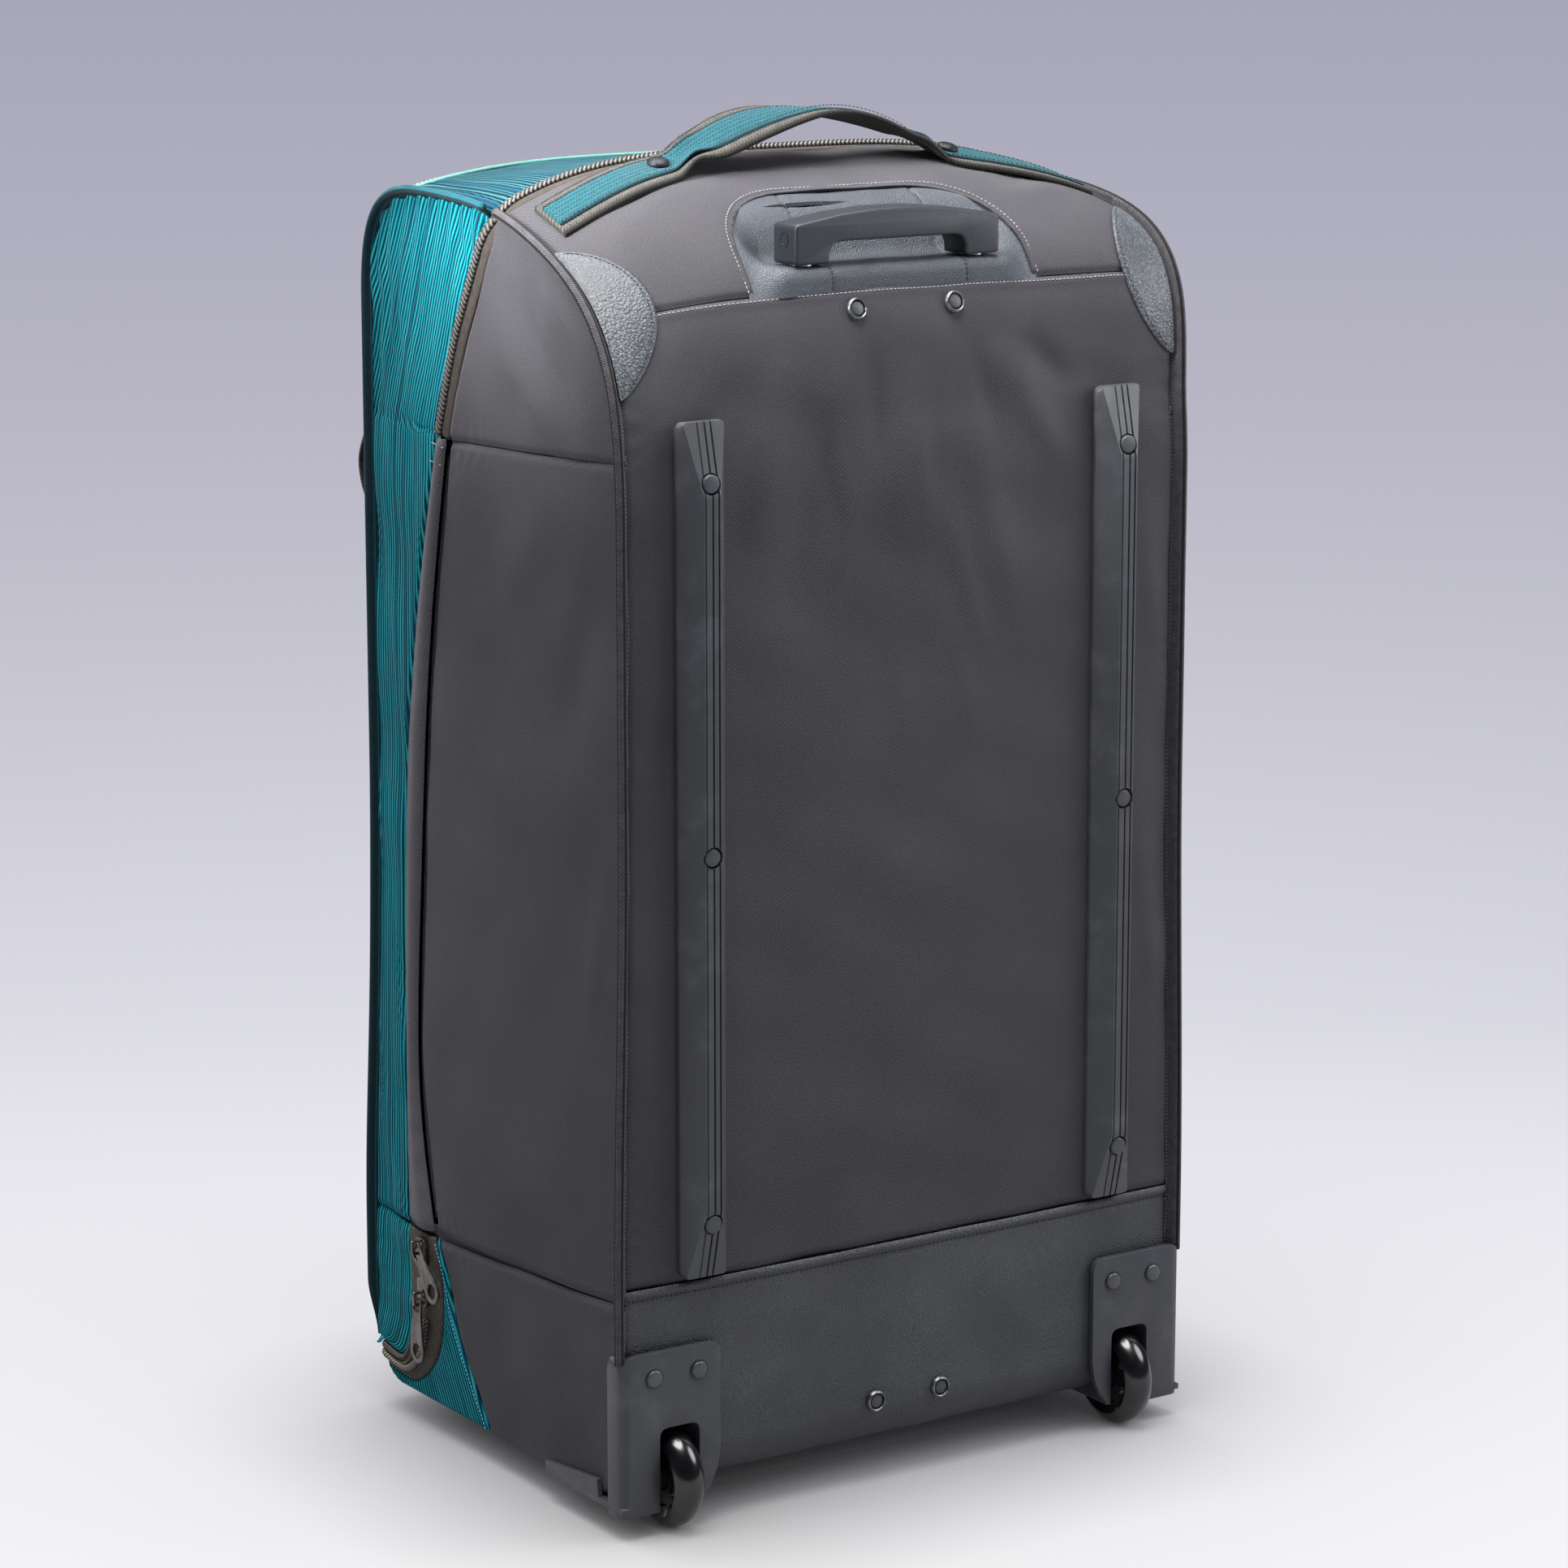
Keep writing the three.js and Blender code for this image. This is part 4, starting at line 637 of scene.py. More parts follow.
def spline(rows, t):
    # A smooth curve through drawn points, as a french curve would join them.
    rows = np.asarray(rows, float)
    t = np.clip(t, 0, 1) * (len(rows) - 1)
    i = np.minimum(t.astype(int), len(rows) - 2)
    w = (t - i)[..., None]
    p0, p1 = rows[np.maximum(i - 1, 0)], rows[i]
    p2, p3 = rows[i + 1], rows[np.minimum(i + 2, len(rows) - 1)]
    m1, m2 = (p2 - p0) / 2, (p3 - p1) / 2
    return (2 * p1 - 2 * p2 + m1 + m2) * w**3 + (-3 * p1 + 3 * p2 - 2 * m1 - m2) * w**2 + m1 * w + p1


POCKET_LINE = [(13.2, 759), (13.0, 765), (13.4, 771), (16.5, 775.6), (23, 776.9), (31, 777.1), (40, 777.3),
               (46.5, 781), (51.5, 789.5), (57, 799.5), (63, 807.3), (69.7, 811.5), (77, 815)]
coated_pocket = coated("coated_pocket", 0x363B42, 0x484F57, 0.5, 1500.0)
a, x = np.meshgrid(np.linspace(0, 1, 110), np.linspace(-POCKET_HALF, POCKET_HALF, 120), indexing="ij")
points = pocket_points(a, x)
points = push_out(points, -0.8 * bell(np.abs(x), SEAM_X, 1.3) + 0.15 * waves(x, a * 90, 34, 21))
pocket = sew("trolley_pocket_cloth", points, np.stack([x, a * 90], -1), coated_pocket)
for x in (-TUBE_X, TUBE_X):
    at = (x / 1000, (TUBE_Y - ROW_Y) / 1000, 0.775)
    bpy.ops.object.select_all(action="DESELECT")
    bpy.ops.mesh.primitive_cylinder_add(vertices=40, radius=0.0083, depth=0.024, location=at)
    bpy.ops.object.transform_apply(location=True, rotation=True, scale=True)
    cut(pocket, bpy.context.object)
share = np.linspace(0, 1, 25)
gape = np.sin(np.pi * share)[:, None] ** 0.8 * [0, 2.2, 0]
edge = np.stack([-66 + 62 * share, 66.0 + 0 * share, 800 + 0 * share], -1)
slit = np.vstack([edge + gape, (edge - gape)[-2:0:-1]])
cut(pocket, prism("slit", slit, slit + [0, 0, 40]))
dress(pocket, "bag", "coated_cloth", "trolley_pocket")
for n, x in enumerate((-SEAM_X, SEAM_X)):
    for part, (start, end) in enumerate(((0.03, 0.2), (0.56, 0.93))):
        line = pocket_points(np.linspace(start, end, 60), np.full(60, x))
        out = np.cross(np.gradient(line, axis=0), [-1.0, 0, 0])
        name = f"pocket_seam_stitches_{n}_{part}"
        stitches(name, "coated_cloth", line, out, dark_thread, 3.2, 2.2, 0.34, -0.3)
half, arch = opening_arch(3.6)
drawn = np.vstack([[(half, 2)], arch[::4], arch[::-4] * [-1, 1], [(-half, 2)]])
s = S_TOP_SEAM + np.linspace(-6, 95, 300)
line, out = [], []
for x, up in drawn:
    spot = np.full(2, np.interp(up, (wrap(wrap_share(x, s), s) - pocket_foot) @ pocket_up, s))
    line.append(settle(wrap(wrap_share(x, spot), spot))[0])
    out.append(settle(wrap(wrap_share(x, spot), spot, 3.0))[0] - line[-1])
line, out = np.array(line), np.array(out)
stitches("pocket_edge_stitches", "grey_cloth", line, out, pale_thread, 3.0, 1.9, 0.36, 0.45)

# Corner patches
# Two half-moon patches of pale speckled coated cloth over the top corners of the back. Each is
# stitched down round its curved edge with dark thread.
SIDES = (("left", -1), ("right", 1))
coated_patch = coated("coated_patch", 0x2E3237, 0x787E85, 0.4, 620.0, 0.65)
S_PATCH = [rim_where(rim_z >= 706), rim_where(rim_y >= 80, S_TOP_SEAM)]


def patch_reach(a):
    return 3 + 34 * np.sin(np.pi * a) ** 0.8


for label, side in SIDES:
    a, b = np.meshgrid(crowd(80, 0.5), crowd(26, 0.8), indexing="ij")
    inner = side * (1 - patch_reach(a) / HALF_BODY)
    u, s = inner + (side * 0.998 - inner) * b, S_PATCH[0] + (S_PATCH[1] - S_PATCH[0]) * a
    off = np.abs(u - inner) * HALF_BODY
    lift = 2.1 - 0.8 * bell(off, 0, 1.2) - 0.5 * bell(off, 3, 0.8)
    flat = np.stack([u * HALF_BODY, s], -1)
    panel(f"corner_patch_{label}", settle(wrap(u, s, lift)), flat, coated_patch, "coated_cloth", 1.6)
    a = np.linspace(0.04, 0.96, 120)
    u, s = side * (1 - (patch_reach(a) - 3.0) / HALF_BODY), S_PATCH[0] + (S_PATCH[1] - S_PATCH[0]) * a
    line = settle(wrap(u, s, 1.7))
    out = line - settle(wrap(u, s, -4))
    stitches(f"corner_patch_{label}_stitches", "coated_cloth", line, out, dark_thread, 3.0, 2.2, 0.36)

# Sides
# Grey twill in three cuts on each side, joined by two cross seams, and a folded flap that covers
# the long side of the main zip. They bulge a little and are drawn in at the seams, whose turnings
# close the joins from inside.
FLAP_FRONT = [(263, 139), (264, 250), (265, 411), (248, 530), (217, 663)]
FLAP_BACK = [(227, 141), (244, 250), (239, 411), (225, 530), (202, 661)]
ZIP_EDGE = [(209, 664), (192, 718), (175, 755), (155, 796)]
LOW_INNER = [(263, 136), (262, 102), (264, 72), (270, 52), (282, 42), (306, 45.8)]
LOW_OUTER = [(226, 137), (220, 105), (222, 76), (234, 50), (262, 29.5), (300, 31.5)]
WEDGE_SEAM = [(224, 136), (214, 115), (204, 84), (188, 56), (165, 22)]
HALF_ZIP = 7.8


def beside(rows, a, shift=0.0):
    here, ahead = spline(rows, a), unit(spline(rows, a + 1e-4) - spline(rows, a - 1e-4))
    return here + shift * np.stack([ahead[..., 1], -ahead[..., 0]], -1)


def rim_edge(s0, s1, a):
    return np.stack(rim_at(s0 + (s1 - s0) * a)[:2], -1)


def side_points(side, yz, lift=0.0):
    # Places on a side's face, which bulges towards its middle.
    y, z = yz[..., 0], yz[..., 1]
    r = (((y - MIDDLE[1]) / 152) ** 4 + ((z - MIDDLE[2]) / 391) ** 4) ** 0.25
    out = half_width(z) + 8 * np.maximum(0, 1 - r**2) + lift
    return np.stack([side * out, y, z], -1)


def side_grid(side, front, back, rows, cols, share=0.7):
    a, b = np.meshgrid(crowd(rows, share), crowd(cols, share), indexing="ij")
    f, k = front(a), back(a)
    yz = f + (k - f) * b[..., None]
    return settle(side_points(side, yz)), yz


def back_rim(z):
    return rim_where(rim_z >= z)


def front_rim(z):
    return rim_where(rim_z <= z, S_FRONT)


def turning(name, points, flat):
    dress(sew(f"seam_turning_{name}", points, flat, grey_cloth, 1.0), "bag", "grey_cloth")


S_HEEL = rim_where(rim_y <= 33)
UPPER_FOLDS = [((40, 690), (150, 780), 16, -3.4), ((60, 672), (165, 745), 14, 2.6),
               ((25, 720), (90, 785), 9, 1.8), ((60, 770), (130, 700), 18, 1.2)]
MIDDLE_FOLDS = [((60, 655), (150, 560), 22, 2.0), ((30, 600), (70, 480), 16, -1.6),
                ((180, 640), (120, 520), 18, -1.4), ((40, 300), (90, 170), 24, 1.2),
                ((200, 260), (120, 170), 20, 1.0), ((20, 440), (40, 300), 9, 1.0)]
SEAMS = ([(4, 149.9), (226, 138.6), (263, 137.6), (311, 138.9)], [(5, 668.1), (201, 661.5)])
# Painted light: a paler copy of the grey twill for the zip flaps, which are lit brighter than the panels
# beside them.
lit_flap_cloth = twill("lit_flap_cloth", 0x363438, 0x67656A)
for label, side in SIDES:
    points, flat = side_grid(side, lambda a: beside(ZIP_EDGE, a, -HALF_ZIP),
                             lambda a: rim_edge(back_rim(668.3), S_ZIP_BACK - 0.3, a), 70, 80)
    y, z = flat[..., 0], flat[..., 1]
    high = fold_height(y, z, UPPER_FOLDS) + 0.5 * waves(y, z, 60, 31 + side)
    points = sewn(push_out(points, high), "start left right", deep=1.7)
    panel(f"side_upper_{label}", points, flat, grey_cloth, "grey_cloth")

    points, flat = side_grid(side, lambda a: beside(FLAP_BACK, a, -0.3),
                             lambda a: rim_edge(back_rim(150), back_rim(668), a), 150, 90)
    y, z = flat[..., 0], flat[..., 1]
    high = fold_height(y, z, MIDDLE_FOLDS) + 0.6 * waves(y, z, 95, 33 + side)
    high = high - 2.6 * np.exp(-lengths(points, 1) / 17)  # pulled in along the zip flap
    points = sewn(push_out(points, high), deep=1.7)
    panel(f"side_middle_{label}", points, flat, grey_cloth, "grey_cloth")

    points, flat = side_grid(side, lambda a: beside(WEDGE_SEAM, a, 0.8),
                             lambda a: rim_edge(back_rim(149.7), S_HEEL, a), 50, 70)
    y, z = flat[..., 0], flat[..., 1]
    points = sewn(push_out(points, 0.6 * waves(y, z, 70, 35 + side)), "start left right", deep=1.7)
    panel(f"side_lower_{label}", points, flat, grey_cloth, "grey_cloth")

    points, flat = side_grid(side, lambda a: beside(FLAP_FRONT, a), lambda a: beside(FLAP_BACK, a), 150, 24)
    across = lengths(points, 1)
    share = across / across[:, -1:]
    roll = 3.6 * np.sin(np.pi * np.clip(share, 0, 1) ** 1.8) ** 0.8 - 0.8 * bell(share, 0.14, 0.05)
    points = sewn(push_out(points, roll), deep=1.2, pucker=0.5, pitch=22)
    panel(f"zip_flap_{label}", points, flat, lit_flap_cloth, "grey_cloth")
    for n, a in enumerate((0.985, 0.955)):
        front, back = (spline(rows, np.array([a]))[0] for rows in (FLAP_FRONT, FLAP_BACK))
        line = settle(side_points(side, np.linspace(front, back, 20), 2.0))
        out = np.tile([side, 0, 0], (20, 1))
        stitches(f"flap_tack_{label}_{n}", "grey_cloth", line, out, pale_thread, 2.6, 1.9, 0.4)

    for n, seam in enumerate(SEAMS):
        seam = np.array(seam, float)
        y = np.linspace(seam[0, 0], seam[-1, 0], 80)
        yz = np.stack([y, np.interp(y, *seam.T)], -1)[:, None] + np.linspace(-6, 6, 5)[None, :, None] * [0, 1]
        turning(f"{label}_{n}", settle(side_points(side, yz, -3.6)), yz)
    yz = beside(FLAP_BACK, np.linspace(0.03, 0.97, 90))[:, None]
    yz = yz + np.linspace(-5, 5, 5)[None, :, None] * [1, 0]
    turning(f"{label}_flap", settle(side_points(side, yz, -4.8)), yz)
turning("base", *wrap_grid(S_BASE_SEAM - 6, S_BASE_SEAM + 6, 5, 80, -3.6, -0.97, 0.97)[:2])
for n, (near, far) in enumerate(((-0.97, -0.38), (-0.22, 0.22), (0.38, 0.97))):  # clear of the trolley
    turning(f"top_{n}", *wrap_grid(S_TOP_SEAM - 6, S_TOP_SEAM + 6, 5, 40, -3.6, near, far)[:2])

# Lid
# Ribbed teal cloth, heathered with navy: a front, a top, two sides and two low corners. It is
# gathered a little under the top piping. A wedge of the same cloth fills the foot of each side.


def ribbed(name, stops):
    # Teal rib: narrow cords along the cloth, navy between them, paler flecks and uneven dye.
    made, root = finish(name)
    flat, u, v = root.cloth()
    cord, weft = u.ribs(0.0032), v.ribs(0.0011)
    streak = root.noise(root.node("CombineXYZ", None, {0: u * 520.0, 1: v * 16.0}), 1.0, 3.0, 0.6)
    stripe = root.noise(root.node("CombineXYZ", None, {0: u * 170.0, 1: v * 1.5}), 1.0, 1.0)
    fleck = root.noise(flat, 1100.0, 1.0)
    body = (cord * 0.55 + streak * 0.55 + fleck * 0.25).band(0.25, 1.05)
    colour = root.node("ValToRGB", {"stops": [(place, tint(code)) for place, code in stops]}, {0: body})
    navy = (1.0 - stripe.band(0.34, 0.44)) * 0.75
    colour = navy.blend(colour, full(0x15384A))
    sockets = {"Base Color": colour, "Roughness": 0.95 - streak * 0.2, "Sheen Weight": 0.03,
               "Sheen Roughness": 0.2, "Specular IOR Level": 0.05}
    surface(root, sockets, cord * 0.9 + weft * 0.2 + fleck * 0.3, 0.0006, 0.6)
    return made


TEALS = [(0.0, 0x011823), (0.35, 0x034855), (0.62, 0x076B7A), (0.85, 0x0D808D), (1.0, 0x3A9297)]
# Painted shade: a darker, greyer copy of the teal for the lid top, which the overhead lamp lights strongly.
SHADED_TEALS = [(0.0, 0x07131C), (0.35, 0x122D38), (0.62, 0x1E4752), (0.85, 0x2B5860), (1.0, 0x456B70)]
blue_thread = thread_finish("blue_thread", 0x2C7FA8, 0x63B4D4)
teal_cloth, shaded_teal = ribbed("teal_cloth", TEALS), ribbed("shaded_teal", SHADED_TEALS)
points, flat, u, s = wrap_grid(S_ZIP_FRONT + 0.2, S_LID_ZIP[0] - 0.1, 60, 130, share=0.5)
gather = np.sin(2 * np.pi * HALF_BODY * np.abs(u) / 9 + 0.8 * waves(u * HALF_BODY, s, 120, 41))
along = np.clip((s - S_ZIP_FRONT) / (S_LID_ZIP[0] - S_ZIP_FRONT), 0, 1)
sag = 6.5 * (1 - u**4) * np.sin(np.pi * along) ** 0.7
high = 0.5 * gather * smooth(np.abs(u), 0.75, 0.96) - sag + 0.5 * waves(u * HALF_BODY, s, 60, 42)
panel("lid_top", sewn(push_out(points, high)), flat, shaded_teal, "teal_cloth")

points, flat, u, s = wrap_grid(S_LID_ZIP[1] + 0.1, S_LOW_ZIP[0] - 0.2, 170, 110, share=0.6)
FRONT_FOLDS = [((-150, 700), (-100, 560), 18, 2.0), ((130, 690), (60, 520), 20, 1.8),
               ((0, 640), (-40, 420), 26, -1.6), ((-150, 330), (-60, 160), 26, 1.8),
               ((150, 360), (80, 150), 24, 1.6), ((-60, 260), (60, 120), 24, -1.2)]
high = fold_height(points[..., 0], points[..., 2], FRONT_FOLDS) + 0.8 * waves(u * HALF_BODY, s, 90, 43)
panel("front_panel", sewn(push_out(points, high), deep=1.6), flat, teal_cloth, "teal_cloth")

S_TOE_END = rim_where(rim_y <= 283, S_FRONT)


def fan(points):
    across, along = lengths(points, 1), lengths(points, 0)
    whole = np.maximum(across[:, -1:], 1e-6)
    return np.stack([across / whole * whole.mean() * 1.25, along], -1)


LID_TURN = 8 / 18  # share of a lid side's back edge that follows the main zip
LID_SEAM = 664  # height of its cross seam


def lid_back(a):
    upper = beside(ZIP_EDGE, np.maximum(1 - a / LID_TURN, 0), HALF_ZIP)
    lower = beside(FLAP_FRONT, np.minimum((1 - a) / (1 - LID_TURN), 1), 0.3)
    return np.where((a < LID_TURN)[..., None], upper, lower)


def wedge_back(a):
    along = np.clip((a - 0.5) / 0.5, 0, 1)
    end = rim_edge(S_LOW_ZIP[1], S_TOE_END, np.ones(1))[0]
    ground = np.stack([165 + (end[0] - 165) * along, np.full_like(a, 22.0)], -1)
    return np.where((a < 0.5)[..., None], beside(WEDGE_SEAM, np.minimum(a / 0.5, 1)), ground)


for label, side in SIDES:
    points, flat = side_grid(side, lambda a: rim_edge(S_ZIP_FRONT + 2, front_rim(139), a),
                             lid_back, 240, 60, 0.35)
    y, z = flat[..., 0], flat[..., 1]
    under_top = np.exp(-lengths(points, 1) / 38) * smooth(z, 640, 760)
    gather = np.sin(2 * np.pi * y / 15 + 1.8 * waves(y, z, 60, 44 + side))
    high = 1.5 * gather * under_top + 0.7 * waves(y, z * 0.35, 34, 46 + side)
    high = high - 1.1 * bell(z - LID_SEAM - (y - 217) * 0.06, 0, 1.7)
    lean = y + np.maximum(z - LID_SEAM, 0) * 0.34  # above the seam the ribs lie along the zip
    points = sewn(push_out(points, high), deep=1.6)
    panel(f"lid_side_{label}", points, np.stack([lean, z], -1), teal_cloth, "teal_cloth")

    points, flat = side_grid(side, lambda a: rim_edge(front_rim(138.7), S_LOW_ZIP[0], a),
                             lambda a: beside(LOW_INNER, a), 60, 40)
    points = sewn(push_out(points, 0.6 * waves(flat[..., 0], flat[..., 1], 30, 48)))
    panel(f"lid_corner_{label}", points, fan(points), teal_cloth, "teal_cloth")

    points, flat = side_grid(side, lambda a: beside(LOW_OUTER, a), wedge_back, 60, 36)
    points = sewn(points, "start left right", deep=1.2)
    slant = np.stack([flat @ [0.89, -0.46], flat @ [0.46, 0.89]], -1)  # ribs lie along the slanting seam
    panel(f"base_wedge_{label}", points, slant, teal_cloth, "teal_cloth")
    line = settle(side_points(side, beside(WEDGE_SEAM, np.linspace(0.02, 0.98, 90), -3.0), 0.1))
    out = np.tile([side, 0, 0], (90, 1))
    stitches(f"base_wedge_{label}_stitches", "teal_cloth", line, out, blue_thread, 2.8, 2.0, 0.36)

# Piping
# A cord in a folded strip of cloth along every rim: grey round the back, dark teal round the lid.
# Its flat tail is caught between the two panels that meet there.


def tube(name, rings, material, flat):
    # A skin through a row of like rings of points, capped at both ends.
    count, size = rings.shape[:2]
    at = np.arange(count * size).reshape(count, size)
    after = np.roll(at, -1, axis=1)
    quads = np.stack([at[:-1], after[:-1], after[1:], at[1:]], -1).reshape(-1, 4)
    corners = rings.reshape(-1, 3)
    a, b, d = corners[quads[:, 0]], corners[quads[:, 1]], corners[quads[:, 3]]
    middle = np.repeat(rings[:-1].mean(1), size, axis=0)
    if (np.cross(b - a, d - a) * (a - middle)).sum() < 0:
        quads = quads[:, ::-1]
    piece = mesh_piece(name, corners, quads, material, flat.reshape(-1, 2))
    open_mesh(piece)
    bpy.ops.mesh.fill_holes(sides=0)
    close_mesh()
    return piece


def piping_finish(name, dark, light, dot, flank_dye_and_shade, share, crest, half, wide):
    # Woven strip over a cord: slanting ribs, needle dots along the seam side, and painted shade in the
    # grooves beside the crest; on the teal piping that dark, partly its own navy edge, spreads over the whole
    # flank.
    made, root = finish(name)
    flat, u, v = root.cloth()
    rib, wear = (v + u * 0.7).ribs(0.0016), root.noise(flat, 160.0, 4.0)
    shade = (rib * 0.5 + wear * 0.6).band(0.25, 0.9)
    beat = v.ripple(0.0030).band(0.2, 0.6)
    line = 1.0 - root.maths("ABSOLUTE", u - 0.0068).band(0.0003, 0.0007)
    colour = (beat * line * 0.8).blend(shade.blend(full(dark), full(light)), full(dot))
    # Painted groove shade: the flank colour darkens the cloth beside the crest.
    off = root.maths("ABSOLUTE", u - crest)
    groove_shade = off.band(half, half + 0.0007) * (1.0 - off.band(half + wide, half + wide + 0.0006)) * share
    colour = groove_shade.blend(colour, full(flank_dye_and_shade))
    sockets = {"Base Color": colour, "Roughness": 0.95 - wear * 0.25, "Sheen Weight": 0.06,
               "Specular IOR Level": 0.2}
    surface(root, sockets, rib * 0.7 + wear * 0.5, 0.0004, 0.6)
    return made


def rim_piping(name, side, s0, s1, material, taper=0.0, radius=3.2, seat=2.83):
    s = np.arange(s0, s1, 3.0)
    y, z, ny, nz = rim_at(s)
    turn = np.radians(np.arange(-105, 196, 20))  # round the cord, then down the tail and back
    ring = [(seat + radius * math.cos(t), seat + radius * math.sin(t)) for t in turn]
    ring += [(-4.6, -3.0), (-3.0, -4.6)]
    ring = np.array(ring)
    size = 1 - taper * smooth(s, s1 - 40, s1)[:, None]
    out, up = (ring[:, k] * size - 2 * (1 - size) for k in (0, 1))
    rings = np.stack([side * (half_width(z)[:, None] + out), y[:, None] + ny[:, None] * up,
                      z[:, None] + nz[:, None] * up], -1)
    return tube(name, settle(rings), material, np.stack(np.meshgrid(run_along(ring), s), -1))


grey_piping = piping_finish("grey_piping", 0x29282B, 0x525156, dot=0x5E5C60, flank_dye_and_shade=0x020202, share=0.97,
                            crest=0.0086, half=0.0015, wide=0.0023)
teal_piping = piping_finish("teal_piping", 0x043D47, 0x0A5C67, dot=0x06161E, flank_dye_and_shade=0x061520, share=0.85,
                            crest=0.0065, half=0.0014, wide=0.02)
for label, side in SIDES:
    piping = rim_piping(f"back_piping_{label}_cord", side, back_rim(114), S_ZIP_BACK, grey_piping)
    dress(piping, "bag", "grey_piping", f"back_piping_{label}")
    piping = rim_piping(f"lid_piping_{label}_cord", side, S_ZIP_FRONT, front_rim(47), teal_piping,
                        taper=0.75, radius=2.5, seat=2.3)
    dress(piping, "bag", "teal_piping", f"lid_piping_{label}")

# Main zip
# A taupe tape in the slot between lid and body, up one side, over the top and down the other. The
# coil runs beside the teal, its pale and dark teeth laid in a herringbone.


def tape_finish(name, dark, light):
    # Woven tape: close ribs across it and narrow rows along it.
    made, root = finish(name)
    flat, u, v = root.cloth()
    rib, row = v.ribs(0.0010), u.ribs(0.0016)
    wear = root.noise(flat, 240.0, 4.0)
    shade = (rib * 0.3 + row * 0.3 + wear * 0.6).band(0.3, 0.95)
    sockets = {"Base Color": shade.blend(full(dark), full(light)), "Roughness": 0.92 - wear * 0.2,
               "Sheen Weight": 0.06, "Specular IOR Level": 0.2}
    surface(root, sockets, rib * 0.5 + row * 0.5, 0.0004, 0.6)
    return made


def coil_finish(name, dark, light, pitch):
    # Zip coil: slanting teeth that meet in the middle, shiny, with random wear; their crests are paler,
    # partly the coil's own herringbone and partly a painted highlight.
    made, root = finish(name)
    flat, u, v = root.cloth()
    slant = root.maths("ABSOLUTE", u) * 0.9
    tooth, wear = (v + slant).ribs(pitch), root.noise(flat, 300.0)
    gap = 1.0 - root.maths("ABSOLUTE", u).band(0.0001, 0.0005)
    # Pale tooth crests: the coil's own two-tone teeth with a painted highlight on top.
    shade = (tooth.band(0.35, 0.7) + wear * 0.3 - 0.12) * (1.0 - gap * 0.7)
    colour = shade.band(0.0, 1.0).blend(full(dark), full(light))
    sockets = {"Base Color": colour, "Roughness": 0.55 - wear * 0.2}
    surface(root, sockets, tooth * (1.0 - gap), 0.0008, 0.8)
    return made


zip_tape = tape_finish("zip_tape", 0x26221F, 0x433D38)
zip_teeth = coil_finish("zip_teeth", 0x0B0A0A, 0x68645F, 0.0032)

S_ZIP = (S_ZIP_BACK + S_ZIP_FRONT) / 2


def main_zip_stations():
    # Point on the cloth's face, way across the tape towards the lid, and way out.
    spot = beside(ZIP_EDGE, np.linspace(0, 0.94, 70))
    ahead = unit(np.gradient(spot, axis=0))
    side_way = np.stack([np.zeros(70), ahead[:, 1], -ahead[:, 0]], -1)
    over = wrap(np.linspace(-0.955, 0, 90), np.full(90, S_ZIP))
    _, _, ny, nz = rim_at(np.array([S_ZIP]))
    top_way, top_out = np.array([0, nz[0], -ny[0]]), np.array([0, ny[0], nz[0]])
    top_outs = np.cross(np.gradient(over, axis=0), top_way)
    top_outs = unit(top_outs * np.sign((top_outs * top_out).sum(-1, keepdims=True)))
    places = np.vstack([side_points(-1, spot), over])
    ways = np.vstack([side_way, np.tile(top_way, (90, 1))])
    outs = np.vstack([np.tile([-1.0, 0, 0], (70, 1)), top_outs])
    run = run_along(places)
    even = np.linspace(0, run[-1], 260)
    kernel = np.hanning(25) / np.hanning(25).sum()
    half = []
    for rows in (places, ways, outs):
        rows = trace(even, run, rows)
        for k in range(3):
            rows[12:-12, k] = np.convolve(rows[:, k], kernel, mode="valid")
        half.append(rows)
    half = [settle(half[0]), unit(half[1]), unit(half[2])]
    mirror = [(rows * [-1, 1, 1])[-2::-1] for rows in half]
    return [np.vstack(pair) for pair in zip(half, mirror)]


def strip(name, stations, profile, material, seat):
    # A strip along stations; profile gives points round its section, across and out.
    places, ways, outs = stations
    profile = np.array(profile, float)
    across, up = profile[None, :, :1], profile[None, :, 1:] + seat
    rings = places[:, None] + ways[:, None] * across + outs[:, None] * up
    return tube(name, rings, material, np.stack(np.meshgrid(profile[:, 0], run_along(places)), -1))


def coil_section(half, high, foot):
    turns = np.radians(np.arange(0, 181, 20))
    return [(half * math.cos(t), high * math.sin(t)) for t in turns] + [(-half, -foot), (half, -foot)]


zip_line = main_zip_stations()
section = [(-7.4, 0.2), (-5, 0.5), (-2.5, 0.8), (0, 0.5), (7.4, 0.2), (7.4, -1.2), (0, -1.2), (-7.4, -1.2)]
tape = strip("main_zip_tape_cloth", zip_line, section, zip_tape, -1.0)
dress(tape, "bag", "zip_tape", "main_zip_tape")
chain_line = [zip_line[0] + zip_line[1] * 3.8, zip_line[1], zip_line[2]]
chain = strip("main_zip_coil", chain_line, coil_section(3, 2.0, 1.0), zip_teeth, 0.6)
dress(chain, "bag", "zip_teeth", "main_zip_chain")

# Low zip
# The second zip runs round the foot of the lid. Its tape is wide beside the sliders and narrow
# round the front, where its edges are rolled into two cords beside an olive-grey coil.


